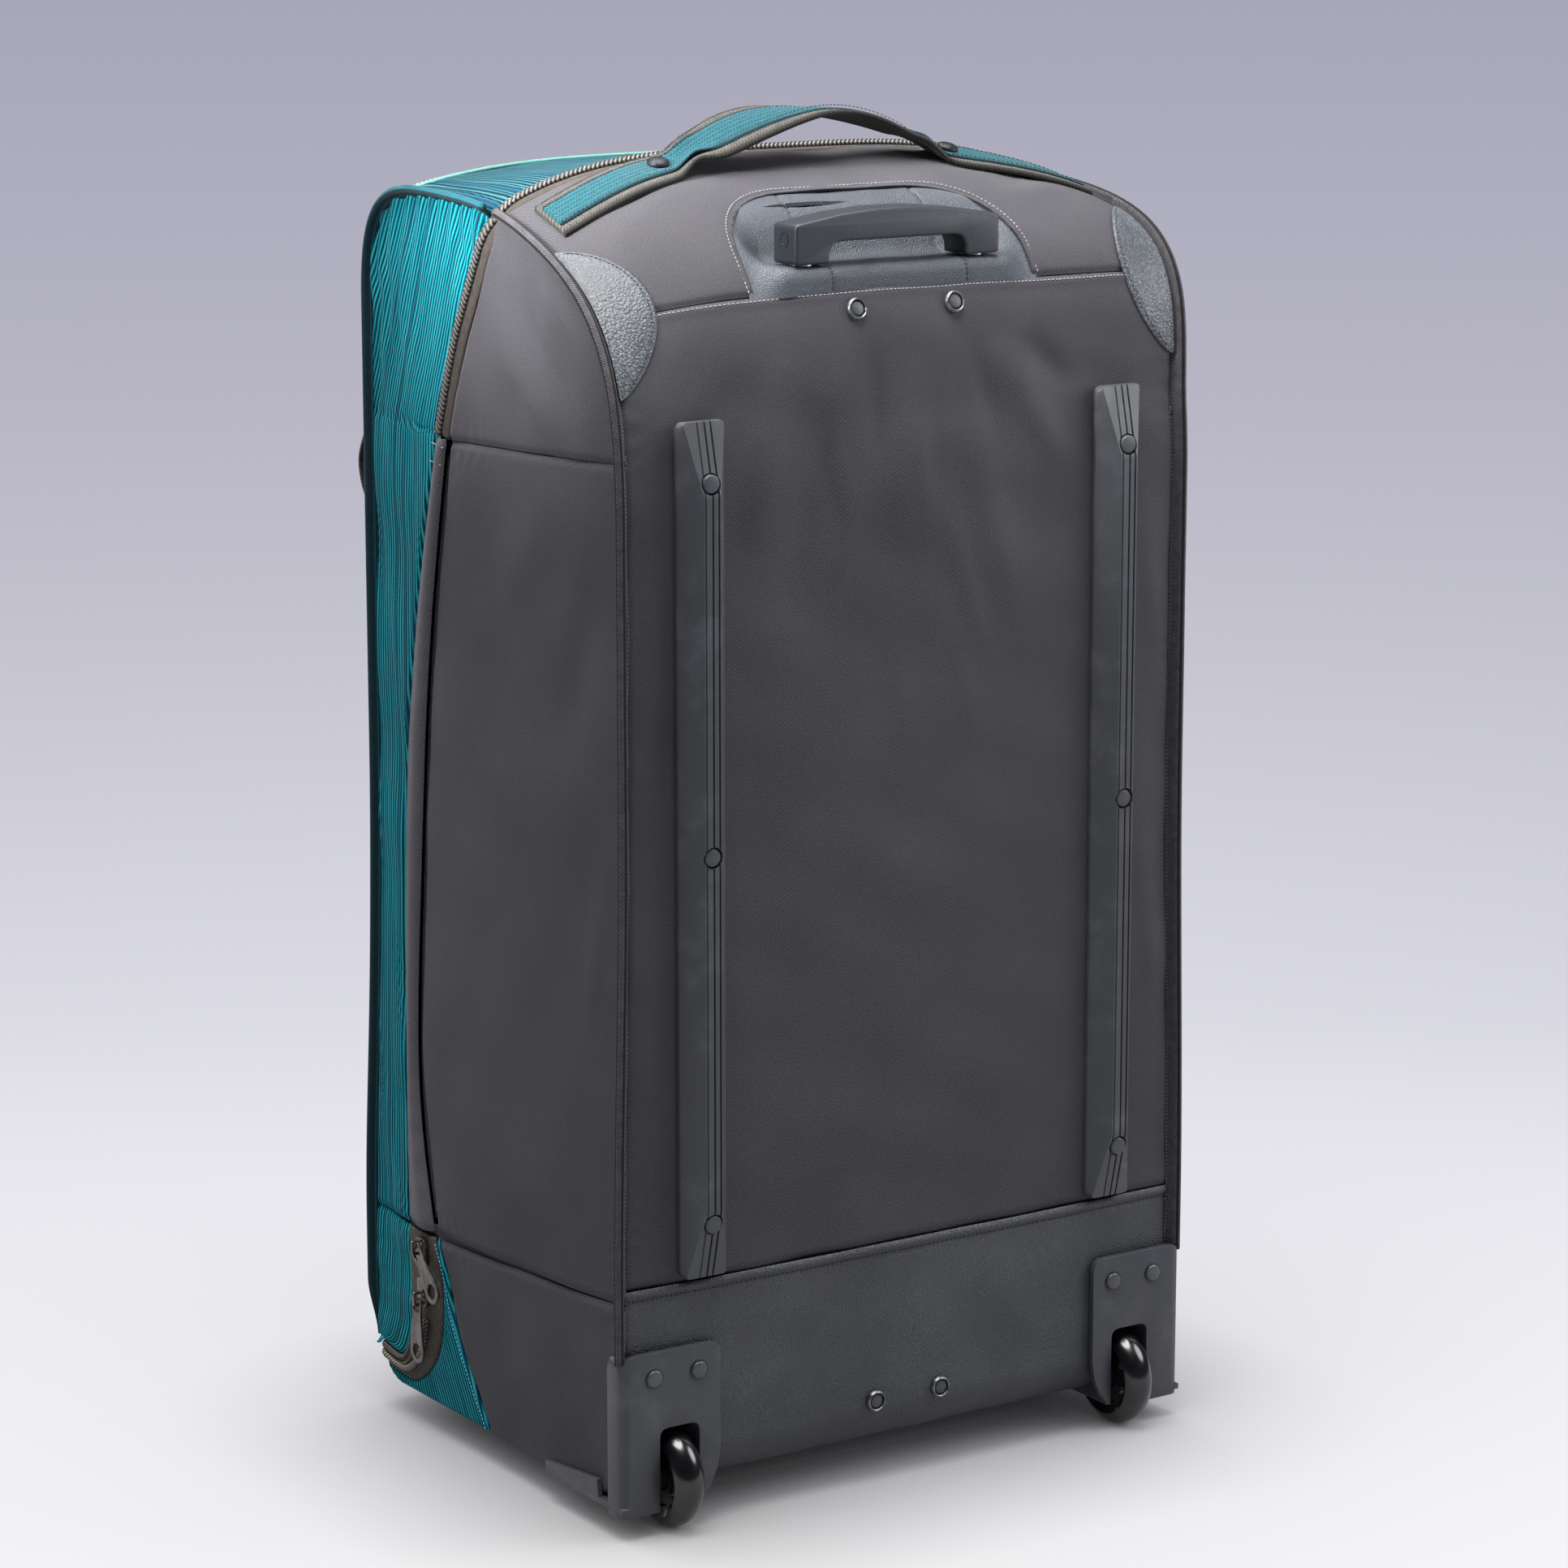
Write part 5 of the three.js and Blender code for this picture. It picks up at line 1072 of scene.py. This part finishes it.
def low_zip_rows(side):
    a = np.linspace(0, 1, 60)
    inner, outer = side_points(side, beside(LOW_INNER, a, 0.3)), side_points(side, beside(LOW_OUTER, a, -0.3))
    outs = np.tile([side, 0.0, 0.0], (60, 1))
    u = side * np.linspace(0.96, 0, 50)
    tilt = math.radians(30)
    inner = np.vstack([inner, wrap(u, np.full(50, S_LOW_ZIP[0] + 0.5))])
    outer = np.vstack([outer, wrap(u, np.full(50, S_LOW_ZIP[1] - 1.7))])
    outs = np.vstack([outs, np.tile([0, math.cos(tilt), -math.sin(tilt)], (50, 1))])
    rows = np.hstack([inner, outer, outs])
    kernel = np.hanning(7) / np.hanning(7).sum()
    for k in range(9):
        rows[50:-3, k] = np.convolve(rows[:, k], kernel, mode="same")[50:-3]
    return rows


rows = np.vstack([low_zip_rows(-1), low_zip_rows(1)[-2::-1]])
inner, outer, outs = rows[:, :3], rows[:, 3:6], unit(rows[:, 6:])
width = np.linalg.norm(outer - inner, axis=1)
run = run_along((inner + outer) / 2)
rolls = np.array([0, 0.5, 1.5, 2.8, 4.2, 5.2, 5.7, 6.2, 7.2, 8.5, 9.8, 10.7])
rolls = np.concatenate([np.broadcast_to(rolls, (len(width), 12)),
                        10.7 + (np.maximum(width, 11.5) - 10.7)[:, None] * [0.3, 0.6, 0.9, 1.0]], 1)
share = np.minimum(rolls / width[:, None], 1.0)
place = np.minimum(np.arange(len(width)), np.arange(len(width))[::-1])
grow = smooth(place, 24, 36)[:, None]
lift = np.array([-0.4, 0.9, 1.8, 2.2, 1.8, 0.9, 0.2, 0.9, 1.8, 2.2, 1.7, 0.5, 0.2, 0.2, 0.2, -0.4])
lift = np.minimum(lift, 0.25) + (lift - np.minimum(lift, 0.25)) * grow
upper = inner[:, None] + (outer - inner)[:, None] * share[..., None] + outs[:, None] * lift[..., None]
under = inner[:, None] + (outer - inner)[:, None] * share[:, ::-1, None] - outs[:, None] * 1.5
across = np.concatenate([share, share[:, ::-1]], 1) * width[:, None]
flat = np.stack([across, np.repeat(run[:, None], 32, 1)], -1)
olive_tape = tape_finish("olive_tape", 0x2C2825, 0x544D46)
tape = tube("low_zip_tape_cloth", np.concatenate([upper, under], 1), olive_tape, flat)
dress(tape, "bag", "zip_tape", "low_zip_tape")
ways = (outer - inner) / width[:, None]
middle = inner + (outer - inner) * 0.52
keep = slice(22, -22)
olive_teeth = coil_finish("olive_teeth", 0x2B2824, 0x7C746A, 0.0030)
chain_line = [middle[keep], ways[keep], outs[keep]]
chain = strip("low_zip_coil", chain_line, coil_section(2.8, 1.9, 0.8), olive_teeth, 1.6)
dress(chain, "bag", "zip_teeth", "low_zip_chain")

# Lid pocket zip
# A mint tape across the top of the lid, its edges raised where they are sewn down, with a pale
# coil along its middle.
mint_tape = tape_finish("mint_tape", 0x3E7A6F, 0x6BA398)
white_teeth = coil_finish("white_teeth", 0x3F7F75, 0xA9C6C2, 0.0034)
points, flat, u, s = wrap_grid(S_LID_ZIP[0] + 0.2, S_LID_ZIP[1] - 0.2, 16, 120, share=0.2)
across = (s - S_LID_ZIP[0]) / (S_LID_ZIP[1] - S_LID_ZIP[0])
points = push_out(points, 1.0 + 0.9 * bell(across, 0.14, 0.1) + 0.9 * bell(across, 0.86, 0.1))
panel("lid_pocket_zip", points, flat[..., ::-1], mint_tape, "mint_tape", 2.4)
u = np.linspace(-0.96, 0.96, 160)
middle_s = np.full(160, (S_LID_ZIP[0] + S_LID_ZIP[1]) / 2)
places = settle(wrap(u, middle_s, 0.6))
ways = unit(settle(wrap(u, middle_s + 2, 0.6)) - places)
outs = unit(np.cross(np.gradient(places, axis=0), ways))
outs *= np.sign(outs[:, 2:].sum())
chain = strip("lid_pocket_coil", [places, ways, outs], coil_section(2.6, 1.8, 0.8), white_teeth, 0.8)
dress(chain, "bag", "mint_tape")

# Carry handle
# Olive-grey webbing sewn flat to the top at both ends and arched between, with a teal stripe of
# narrower webbing sewn down its middle. A domed rivet pins each end.


def webbing(name, dark, light, edge, half):
    # Webbing: slanting bars across the strap in narrow columns, and a dark bound edge.
    made, root = finish(name)
    flat, u, v = root.cloth()
    column = root.maths("PINGPONG", u, 0.0019)
    bar, ridge = (v + column * 0.9).ribs(0.0023), u.ribs(0.0038)
    wear = root.noise(flat, 260.0, 4.0)
    shade = (bar * 0.45 + ridge * 0.2 + wear * 0.5).band(0.3, 0.95)
    rim = root.maths("ABSOLUTE", u).band(half - 0.0028, half - 0.0016) * 0.85
    colour = rim.blend(shade.blend(full(dark), full(light)), full(edge))
    sockets = {"Base Color": colour, "Roughness": 0.92 - wear * 0.25, "Sheen Weight": 0.06,
               "Specular IOR Level": 0.2}
    surface(root, sockets, bar * 0.7 + ridge * 0.4, 0.0006, 0.7)
    return made


def wrap_where(x, axis, value, s0, s1):
    low, high = np.full(x.shape, float(s0)), np.full(x.shape, float(s1))
    ends = [wrap(0.0, d)[axis] for d in (s0, s1)]
    for _ in range(40):
        s = (low + high) / 2
        found = wrap(wrap_share(x, s), s)[..., axis]
        before = (found < value) == (ends[1] > ends[0])
        low, high = np.where(before, s, low), np.where(before, high, s)
    return wrap(wrap_share(x, low), low)


HANDLE_Y, ARCH, PINCH = 118, 97, 88  # depth of the handle, half its free span, where it is creased


def handle_rows(half, lift, thick, reach, columns):
    x = np.linspace(-reach, reach, 240)[:, None]
    away = np.abs(x)
    y = HANDLE_Y - 12 * smooth(away, ARCH, 192)
    rise = 1 - (x / ARCH) ** 2
    rise = 0.5 * (rise + np.sqrt(rise**2 + 0.012)) - 0.02  # lifts off in a soft bend
    rise = np.maximum(rise, 0) * smooth(-away, -122, -104)
    across = np.linspace(-half, half, columns)[None, :]
    narrow = 1 - 0.3 * bell(away, PINCH, 13) - 0.42 * smooth(x, -5, 35) * smooth(-x, -92, -60)
    xs, ys = np.broadcast_arrays(x, y + across * narrow)
    lying = settle(wrap_where(xs, 1, ys, S_TOP_SEAM, S_ZIP_BACK))
    middle = settle(wrap_where(xs, 1, np.broadcast_to(y, xs.shape), S_TOP_SEAM, S_ZIP_BACK))
    z = lying[..., 2] + (middle[..., 2] - lying[..., 2]) * np.minimum(rise, 1) + 28 * rise + lift
    curl = (rise - 4.5 * bell(away, PINCH, 11)) * (across / half) ** 2
    twist = np.where(x < 0, -6.0, -3.2) * np.sin(np.pi * x / ARCH) * (away < ARCH) * across / 19
    upper = np.stack([lying[..., 0], lying[..., 1], z + thick - curl + twist], -1)
    under = upper - [0, 0, thick]
    rings = np.concatenate([upper, under[:, ::-1]], 1)
    run = lengths(upper, 0)[:, columns // 2]
    return rings, np.stack(np.meshgrid(np.r_[across[0], across[0, ::-1]], run), -1)


grey_webbing = webbing("grey_webbing", 0x2B2A28, 0x56534E, 0x1C1B1A, 0.019)
teal_webbing = webbing("teal_webbing", 0x062F37, 0x125660, 0x03242C, 0.0125)
rings, flat = handle_rows(half=19, lift=0.9, thick=3.0, reach=192, columns=15)
dress(tube("carry_handle_webbing", rings, grey_webbing, flat), "bag", "grey_webbing", "carry_handle")
rings, flat = handle_rows(half=12, lift=3.7, thick=1.5, reach=191, columns=11)
dress(tube("carry_stripe_webbing", rings, teal_webbing, flat), "bag", "teal_webbing", "carry_stripe")
for n, off in enumerate((-10.6, 10.6)):
    line = rings[:, 5] + (rings[:, 10] - rings[:, 5]) * off / 12 + [0, 0, 0.2]
    out = np.tile([0, 0, 1.0], (len(line), 1))
    stitches(f"carry_stripe_stitches_{n}", "teal_webbing", line, out, dark_thread, 3.2, 2.2, 0.34, 0.1)

# Grab straps
# Grey webbing down both edges of the lid's front, sewn at the ends and slack near the top, where
# a hand can take hold.
BOW = [(698, 0.8), (684, 0.8), (668, 7), (650, 18), (634, 25), (618, 22), (602, 12), (586, 6), (560, 4),
       (470, 4), (380, 4), (300, 4), (240, 4), (200, 4), (180, 2), (160, 0.8)]  # height, and slack
strap_webbing = webbing("strap_webbing", 0x34322E, 0x625E57, 0x1C1B1A, 0.015)
for label, side in SIDES:
    fine = spline(BOW, np.linspace(0, 1, 260))
    x, z = np.broadcast_arrays(side * np.linspace(173, 203, 13)[None, :], fine[:, :1])
    upper = wrap_where(x, 2, z, S_FRONT - 40, S_LOW_ZIP[0])
    upper[..., 1] += fine[:, 1:]
    outer = upper + [0, 2.5, 0]
    rings = np.concatenate([outer, upper[:, ::-1]], 1)
    across = np.linspace(-15, 15, 13)
    run = lengths(outer, 0)[:, 6]
    flat = np.stack(np.meshgrid(np.r_[across, across[::-1]], run), -1)
    strap = tube(f"grab_strap_{label}_webbing", rings, strap_webbing, flat)
    dress(strap, "bag", "grey_webbing", f"grab_strap_{label}")

# Sliders and pull tabs
# Cast zip sliders on the left, plated gunmetal, each with a bridge. A stamped tab hangs through
# each bridge and swings on it.


def copy_of(node, name, material, edge, segments, angle):
    # A smooth copy of a solid: its triangles merged into flats and its edges rounded.
    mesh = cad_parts[node].data.copy()
    mesh.name = name
    mesh.materials.clear()
    mesh.materials.append(material)
    piece = add(name, mesh)
    open_mesh(piece)
    bpy.ops.mesh.remove_doubles(threshold=1e-5)
    bpy.ops.mesh.dissolve_limited(angle_limit=math.radians(1.0))
    bpy.ops.object.mode_set(mode="OBJECT")
    apply(piece, "BEVEL", width=edge / 1000, segments=segments, limit_method="ANGLE",
          angle_limit=math.radians(angle), harden_normals=False, use_clamp_overlap=True)
    soften(piece, angle)
    return piece


def soften(piece, angle):
    pick(piece)
    bpy.ops.object.shade_smooth_by_angle(angle=math.radians(angle))


def metal(name, dark, light, rough, scale=260.0, patch=0.6):
    # Plated metal: fine brushing and dull patches.
    made, root = finish(name)
    spot = root.place()
    dull = root.noise(spot, scale, 5.0)
    brush_at = root.node("VectorMath", {"operation": "MULTIPLY"}, {0: spot, 1: (900.0, 900.0, 90.0)})
    brush = root.noise(brush_at, 1.0, 3.0)
    colour = (dull * patch + brush * (1.0 - patch)).band(0.3, 0.7).blend(full(dark), full(light))
    sockets = {"Base Color": colour, "Metallic": 0.9, "Roughness": dull * (patch * 0.4) + rough}
    surface(root, sockets, brush * 0.6 + dull * patch, 0.0002, 0.6 * patch)
    return made


gunmetal = metal("gunmetal", 0x4E4B48, 0x6B6762, 0.2)
for label in ("upper", "lower"):
    slider = copy_of(f"slider_{label}", f"slider_{label}_cast", gunmetal, edge=0.7, segments=3, angle=30)
    dress(slider, "bag", "gunmetal", f"slider_{label}")
    tab = copy_of(f"pull_tab_{label}", f"pull_tab_{label}_stamped", gunmetal, edge=0.35, segments=2, angle=30)
    dress(tab, f"pull_tab_{label}", "gunmetal", f"pull_tab_{label}")

# Rivets
# Domed pewter rivets pin the carry handle. Four ring rivets hold the trolley guide: a bright rolled
# ring round a flat grey disc.


def turned(name, profile, place, axis, material, steps=40):
    # A turned piece: half its section, as radius and height, spun about its axis.
    place, axis = Vector(place), Vector(axis).normalized()
    aside = axis.orthogonal().normalized()
    mesh = bpy.data.meshes.new(name)
    start = (place - Vector((0, ROW_Y, 0))) / 1000
    points = [start + (aside * r + axis * h) / 1000 for r, h in profile]
    mesh.from_pydata([tuple(p) for p in points], [(k, k + 1) for k in range(len(points) - 1)], [])
    mesh.materials.append(material)
    piece = add(name, mesh)
    open_mesh(piece)
    bpy.ops.mesh.spin(steps=steps, angle=2 * math.pi, center=start, axis=axis)
    bpy.ops.mesh.select_all(action="SELECT")
    bpy.ops.mesh.remove_doubles(threshold=1e-6)
    close_mesh()
    soften(piece, 40)
    return piece


def painted(name, dark, light, rough):
    # Painted or moulded surface: fine orange-peel grain and faint scuffs.
    made, root = finish(name)
    spot = root.place()
    grain, scuff = root.noise(spot, 1400.0), root.noise(spot, 38.0, 6.0, 0.65)
    worn = scuff.band(0.45, 0.75)
    colour = (worn * 0.7 + grain * 0.3).blend(full(dark), full(light))
    sockets = {"Base Color": colour, "Roughness": rough + grain * 0.12 - worn * 0.06,
               "Specular IOR Level": 0.5}
    surface(root, sockets, grain + scuff * 0.3, 0.00025, 0.5)
    return made


steel = metal("steel", 0x8C8F94, 0xD8DADD, 0.16)
pewter = metal("pewter", 0x1E2023, 0x3E4044, 0.42)
ring_grey = metal("ring_grey", 0x4A4C50, 0x8E9196, 0.26)
disc_grey = painted("disc_grey", 0x3C3D41, 0x4E4F54, 0.5)


def on_cloth(x, axis, value, s0, s1):
    return settle(wrap_where(np.array([float(x)]), axis, np.array([float(value)]), s0, s1))[0]


def on_top(x, y):
    return on_cloth(x, 1, y, S_TOP_SEAM, S_ZIP_BACK)


RING = [(5.2, 0.2), (5.2, 1.8), (5.45, 2.25), (5.9, 2.45), (6.4, 2.15), (6.9, 1.3), (7.1, 0.0), (5.2, 0.2)]
DISC = [(0, 1.6), (3.8, 1.55), (4.15, 1.3), (4.2, 0.2), (0, 0.2)]
DOME = [(0, 2.6), (2.4, 2.5), (4.6, 2.05), (6.2, 1.3), (6.9, 0.5), (7.0, -0.6), (0, -0.6)]
for label, side in SIDES:
    along_x = (on_top(side * 115, HANDLE_Y) - on_top(side * 103, HANDLE_Y)) * side
    along_y = on_top(side * 109, HANDLE_Y + 6) - on_top(side * 109, HANDLE_Y - 6)
    seat = on_top(side * 109, HANDLE_Y) + [0, 0, 6.6]
    rivet = turned(f"handle_rivet_{label}_dome", DOME, seat, np.cross(along_x, along_y), pewter)
    dress(rivet, "bag", "steel", f"handle_rivet_{label}")
    below, seat, above = (on_cloth(side * 36.4, 2, z, S_BASE_SEAM, S_TOP_SEAM) for z in (745, 748, 751))
    tops = (seat, np.cross([1, 0, 0], above - below))
    lows = (on_cloth(side * 25, 2, 55, 60, S_BASE_SEAM), np.array([0, -1.0, 0]))
    for level, (seat, out) in (("top", tops), ("low", lows)):
        out = unit(out)
        node = f"trolley_rivet_{level}_{label}"
        for kind, profile, material in (("ring", RING, ring_grey), ("disc", DISC, disc_grey)):
            dress(turned(f"{node}_{kind}", profile, seat + out * 0.7, out, material), "bag", "steel", node)

# Rails
# Two long runners moulded in dark grey plastic, ramped at both ends, with fine grooves down the
# ridge. Three flat-headed screws sit in wells and hold each to the frame behind the cloth.
moulded = painted("moulded", 0x34363A, 0x4E5156, 0.38)
screw_grey = painted("screw_grey", 0x36383D, 0x4A4D52, 0.4)
RAIL_FOOT, RAIL_HEAD = 162, 692


def rail_ring(z):
    # A rail's section at one height: its foot on the cloth, two slopes and a grooved ridge.
    to_end = min(RAIL_HEAD - z, z - RAIL_FOOT)
    rise = 6 + 10 * min(1, to_end / 44)
    half = 17 - 3.4 * (1 - min(1, to_end / 4)) ** 2
    ridge = min(half - 1, 6 + (16 - rise) * 11 / 13)
    slope = np.array([half - ridge, rise - 3])
    slope = slope / np.hypot(*slope)
    grooves = [(-4.9, 0.7, 0.7), (0.3, 0.65, 1.7), (4.6, 0.65, 1.7)]
    line = [(-half, 0), (-half, 2.0), (-half + 0.5, 3.0), (-ridge - 0.9 * slope[0], rise - 0.9 * slope[1]),
            (-ridge - 0.3 * slope[0], rise - 0.12), (-min(ridge - 0.6, 5.8), rise)]
    for middle, wide, deep in grooves:
        line += [(middle - wide, rise), (middle - wide * 0.5, rise - deep),
                 (middle + wide * 0.5, rise - deep), (middle + wide, rise)]
    line += [(min(ridge - 0.3, 5.6), rise), (ridge + 0.3 * slope[0], rise - 0.12),
             (ridge + 0.9 * slope[0], rise - 0.9 * slope[1]), (half - 0.5, 3.0), (half, 2.0), (half, 0)]
    return np.array([(x, 0.2 - up, z) for x, up in line])


heights = [0, 0.5, 1.2, 2.2, 4, 12, 22, 32, 42, 44, 46] + list(np.arange(60, 260, 12))
heights = np.unique([RAIL_FOOT + h for h in heights] + [RAIL_HEAD - h for h in heights])
rail_rings = np.array([rail_ring(z) for z in heights])
BACKWARD = (0, -1, 0)
WELL = [(0, 5), (6.75, 5), (6.75, -5), (0, -5)]
SCREW = [(0, 4.1), (4.6, 4.1), (5.3, 3.9), (5.65, 3.4), (5.7, 0.0), (0, 0.0)]
for label, side in SIDES:
    rings = rail_rings + [side * RAIL_X, 0, 0]
    rail = tube(f"rail_{label}_moulding", rings, moulded, rail_rings[..., [0, 2]])
    for z in (655.5, 428, 197.4):
        well = turned("well", WELL, (side * RAIL_X, -15.8, z), BACKWARD, moulded, 48)
        cut(rail, well, solver="MANIFOLD")
        name = f"rail_{label}_screw_{round(z)}"
        screw = turned(name, SCREW, (side * RAIL_X, -10.9, z), BACKWARD, screw_grey)
        dress(screw, "bag", "moulded")
    soften(rail, 28)
    dress(rail, "bag", "moulded", f"rail_{label}")

# Wheels and brackets
# Moulded corner brackets wrap the foot of each side and are held by two flat rivets, each ringed
# by a thin black sheet of painted shade. Glossy black wheels with a round tread and pierced hubs
# turn on steel axles in their wells.
bracket_grey = painted("bracket_grey", 0x303237, 0x45474C, 0.3)
rivet_grey = painted("rivet_grey", 0x3A3C41, 0x52555A, 0.25)


def gloss(name, dark, light, rough):
    # Polished tyre: almost black, with a clear coat and faint scuffs round the tread.
    made, root = finish(name)
    spot = root.place()
    scuff, grain = root.noise(spot, 120.0, 5.0), root.noise(spot, 1800.0)
    colour = scuff.band(0.4, 0.75).blend(full(dark), full(light))
    sockets = {"Base Color": colour, "Roughness": scuff * 0.12 + rough, "Coat Weight": scuff * 0.2 + 0.2,
               "Coat Roughness": 0.05}
    surface(root, sockets, grain, 0.0001, 0.15)
    return made


tyre_black = gloss("tyre_black", 0x050608, 0x0D0F13, 0.16)
hub_black = painted("hub_black", 0x0E0F11, 0x1C1E22, 0.35)
tread = np.radians(np.arange(-70, 71, 10))
TYRE = [(21.2 + 11.3 * math.cos(t), 11.6 * math.sin(t)) for t in tread]
TYRE = [(20.0, -7.6), *TYRE, (20.0, 7.6), (20.0, -7.6)]
HUB = [(3.08, -11.9), (8.0, -11.9), (8.8, -11.2), (9.2, -5.0), (10.5, -4.2), (18.2, -4.2), (18.8, -6.8),
       (20.0, -6.8), (20.0, 6.8), (18.8, 6.8), (18.2, 4.2), (10.5, 4.2), (9.2, 5.0), (8.8, 11.2), (8.0, 11.9),
       (3.08, 11.9), (3.08, -11.9)]
HOLE = [(0, -9), (3.5, -9), (3.5, 9), (0, 9)]
ACROSS = (1, 0, 0)
WHEEL_Y, WHEEL_Z = 10, 32.5
# Painted shade: a thin black ring standing round each bracket rivet, where its groove lies in shadow.
RIVET_SHADE_RING = [(5.0, 0.66), (6.3, 0.66), (6.3, -0.4), (5.0, -0.4), (5.0, 0.66)]
RIVET = [(0, 2.0), (4.3, 1.95), (5.1, 1.6), (5.5, 1.0), (5.5, 0.5), (5.1, 0.3), (5.1, -0.4), (0, -0.4)]
for label, side in SIDES:
    node = f"wheel_bracket_{label}"
    bracket = copy_of(node, f"{node}_moulding", bracket_grey, edge=1.6, segments=3, angle=40)
    dress(bracket, "bag", "moulded", node)
    for n, x in enumerate((193.5, 160.9)):
        for suffix, profile, material in (("", RIVET, rivet_grey), ("_groove", RIVET_SHADE_RING, hub_black)):
            name = f"bracket_rivet_{label}_{n}{suffix}"
            dress(turned(name, profile, (side * x, -4.5, 102.5), BACKWARD, material), "bag", "moulded")
    centre = (side * WHEEL_X, WHEEL_Y, WHEEL_Z)
    tyre = turned(f"wheel_{label}_tyre", TYRE, centre, ACROSS, tyre_black, 72)
    dress(tyre, f"wheel_{label}", "tyre", f"wheel_{label}")
    hub = turned(f"wheel_{label}_hub", HUB, centre, ACROSS, hub_black, 60)
    for turn in np.radians([0, 72, 144, 216, 288]):
        spot = (side * WHEEL_X, WHEEL_Y + 14.2 * math.cos(turn), WHEEL_Z + 14.2 * math.sin(turn))
        cut(hub, turned("hole", HOLE, spot, ACROSS, hub_black, 20))
    soften(hub, 35)
    dress(hub, f"wheel_{label}", "tyre", f"wheel_{label}")
    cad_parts[f"axle_{label}"].data.materials[0] = steel
    foot = copy_of(f"foot_{label}", f"foot_{label}_moulding", moulded, edge=2.0, segments=3, angle=40)
    dress(foot, "bag", "moulded", f"foot_{label}")

# Trolley
# Two alloy tubes slide in a fixed guide behind the back cloth. They carry a moulded grip with a
# broad rounded bar and two legs; a screw shows in its left end.
alloy = metal("alloy", 0x8E9196, 0xA8ABB0, 0.3, scale=90.0, patch=0.15)
grip_grey = painted("grip_grey", 0x161A21, 0x262B34, 0.45)
grip = copy_of("trolley_grip", "trolley_grip_moulding", grip_grey, edge=1.8, segments=4, angle=30)
dress(grip, "trolley", "moulded", "trolley_grip")
PIPE = [(6.4, 70), (7.4, 70), (7.6, 70.4), (7.6, 777.7), (6.4, 777.7), (6.4, 70)]
for label, side in SIDES:
    pipe = turned(f"trolley_tube_{label}_pipe", PIPE, (side * TUBE_X, TUBE_Y, 0), (0, 0, 1), alloy)
    dress(pipe, "trolley", "alloy", f"trolley_tube_{label}")
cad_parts["trolley_guide"].data.materials[0] = alloy
END_SCREW = [(0, -0.8), (2.6, -0.8), (3.2, -0.5), (3.6, 0.2), (4.6, 0.3), (4.7, -1.5), (0, -1.5)]
screw = turned("trolley_grip_screw", END_SCREW, (-76.0, 27.5, 793), (-1, 0, 0), hub_black)
dress(screw, "trolley", "moulded")
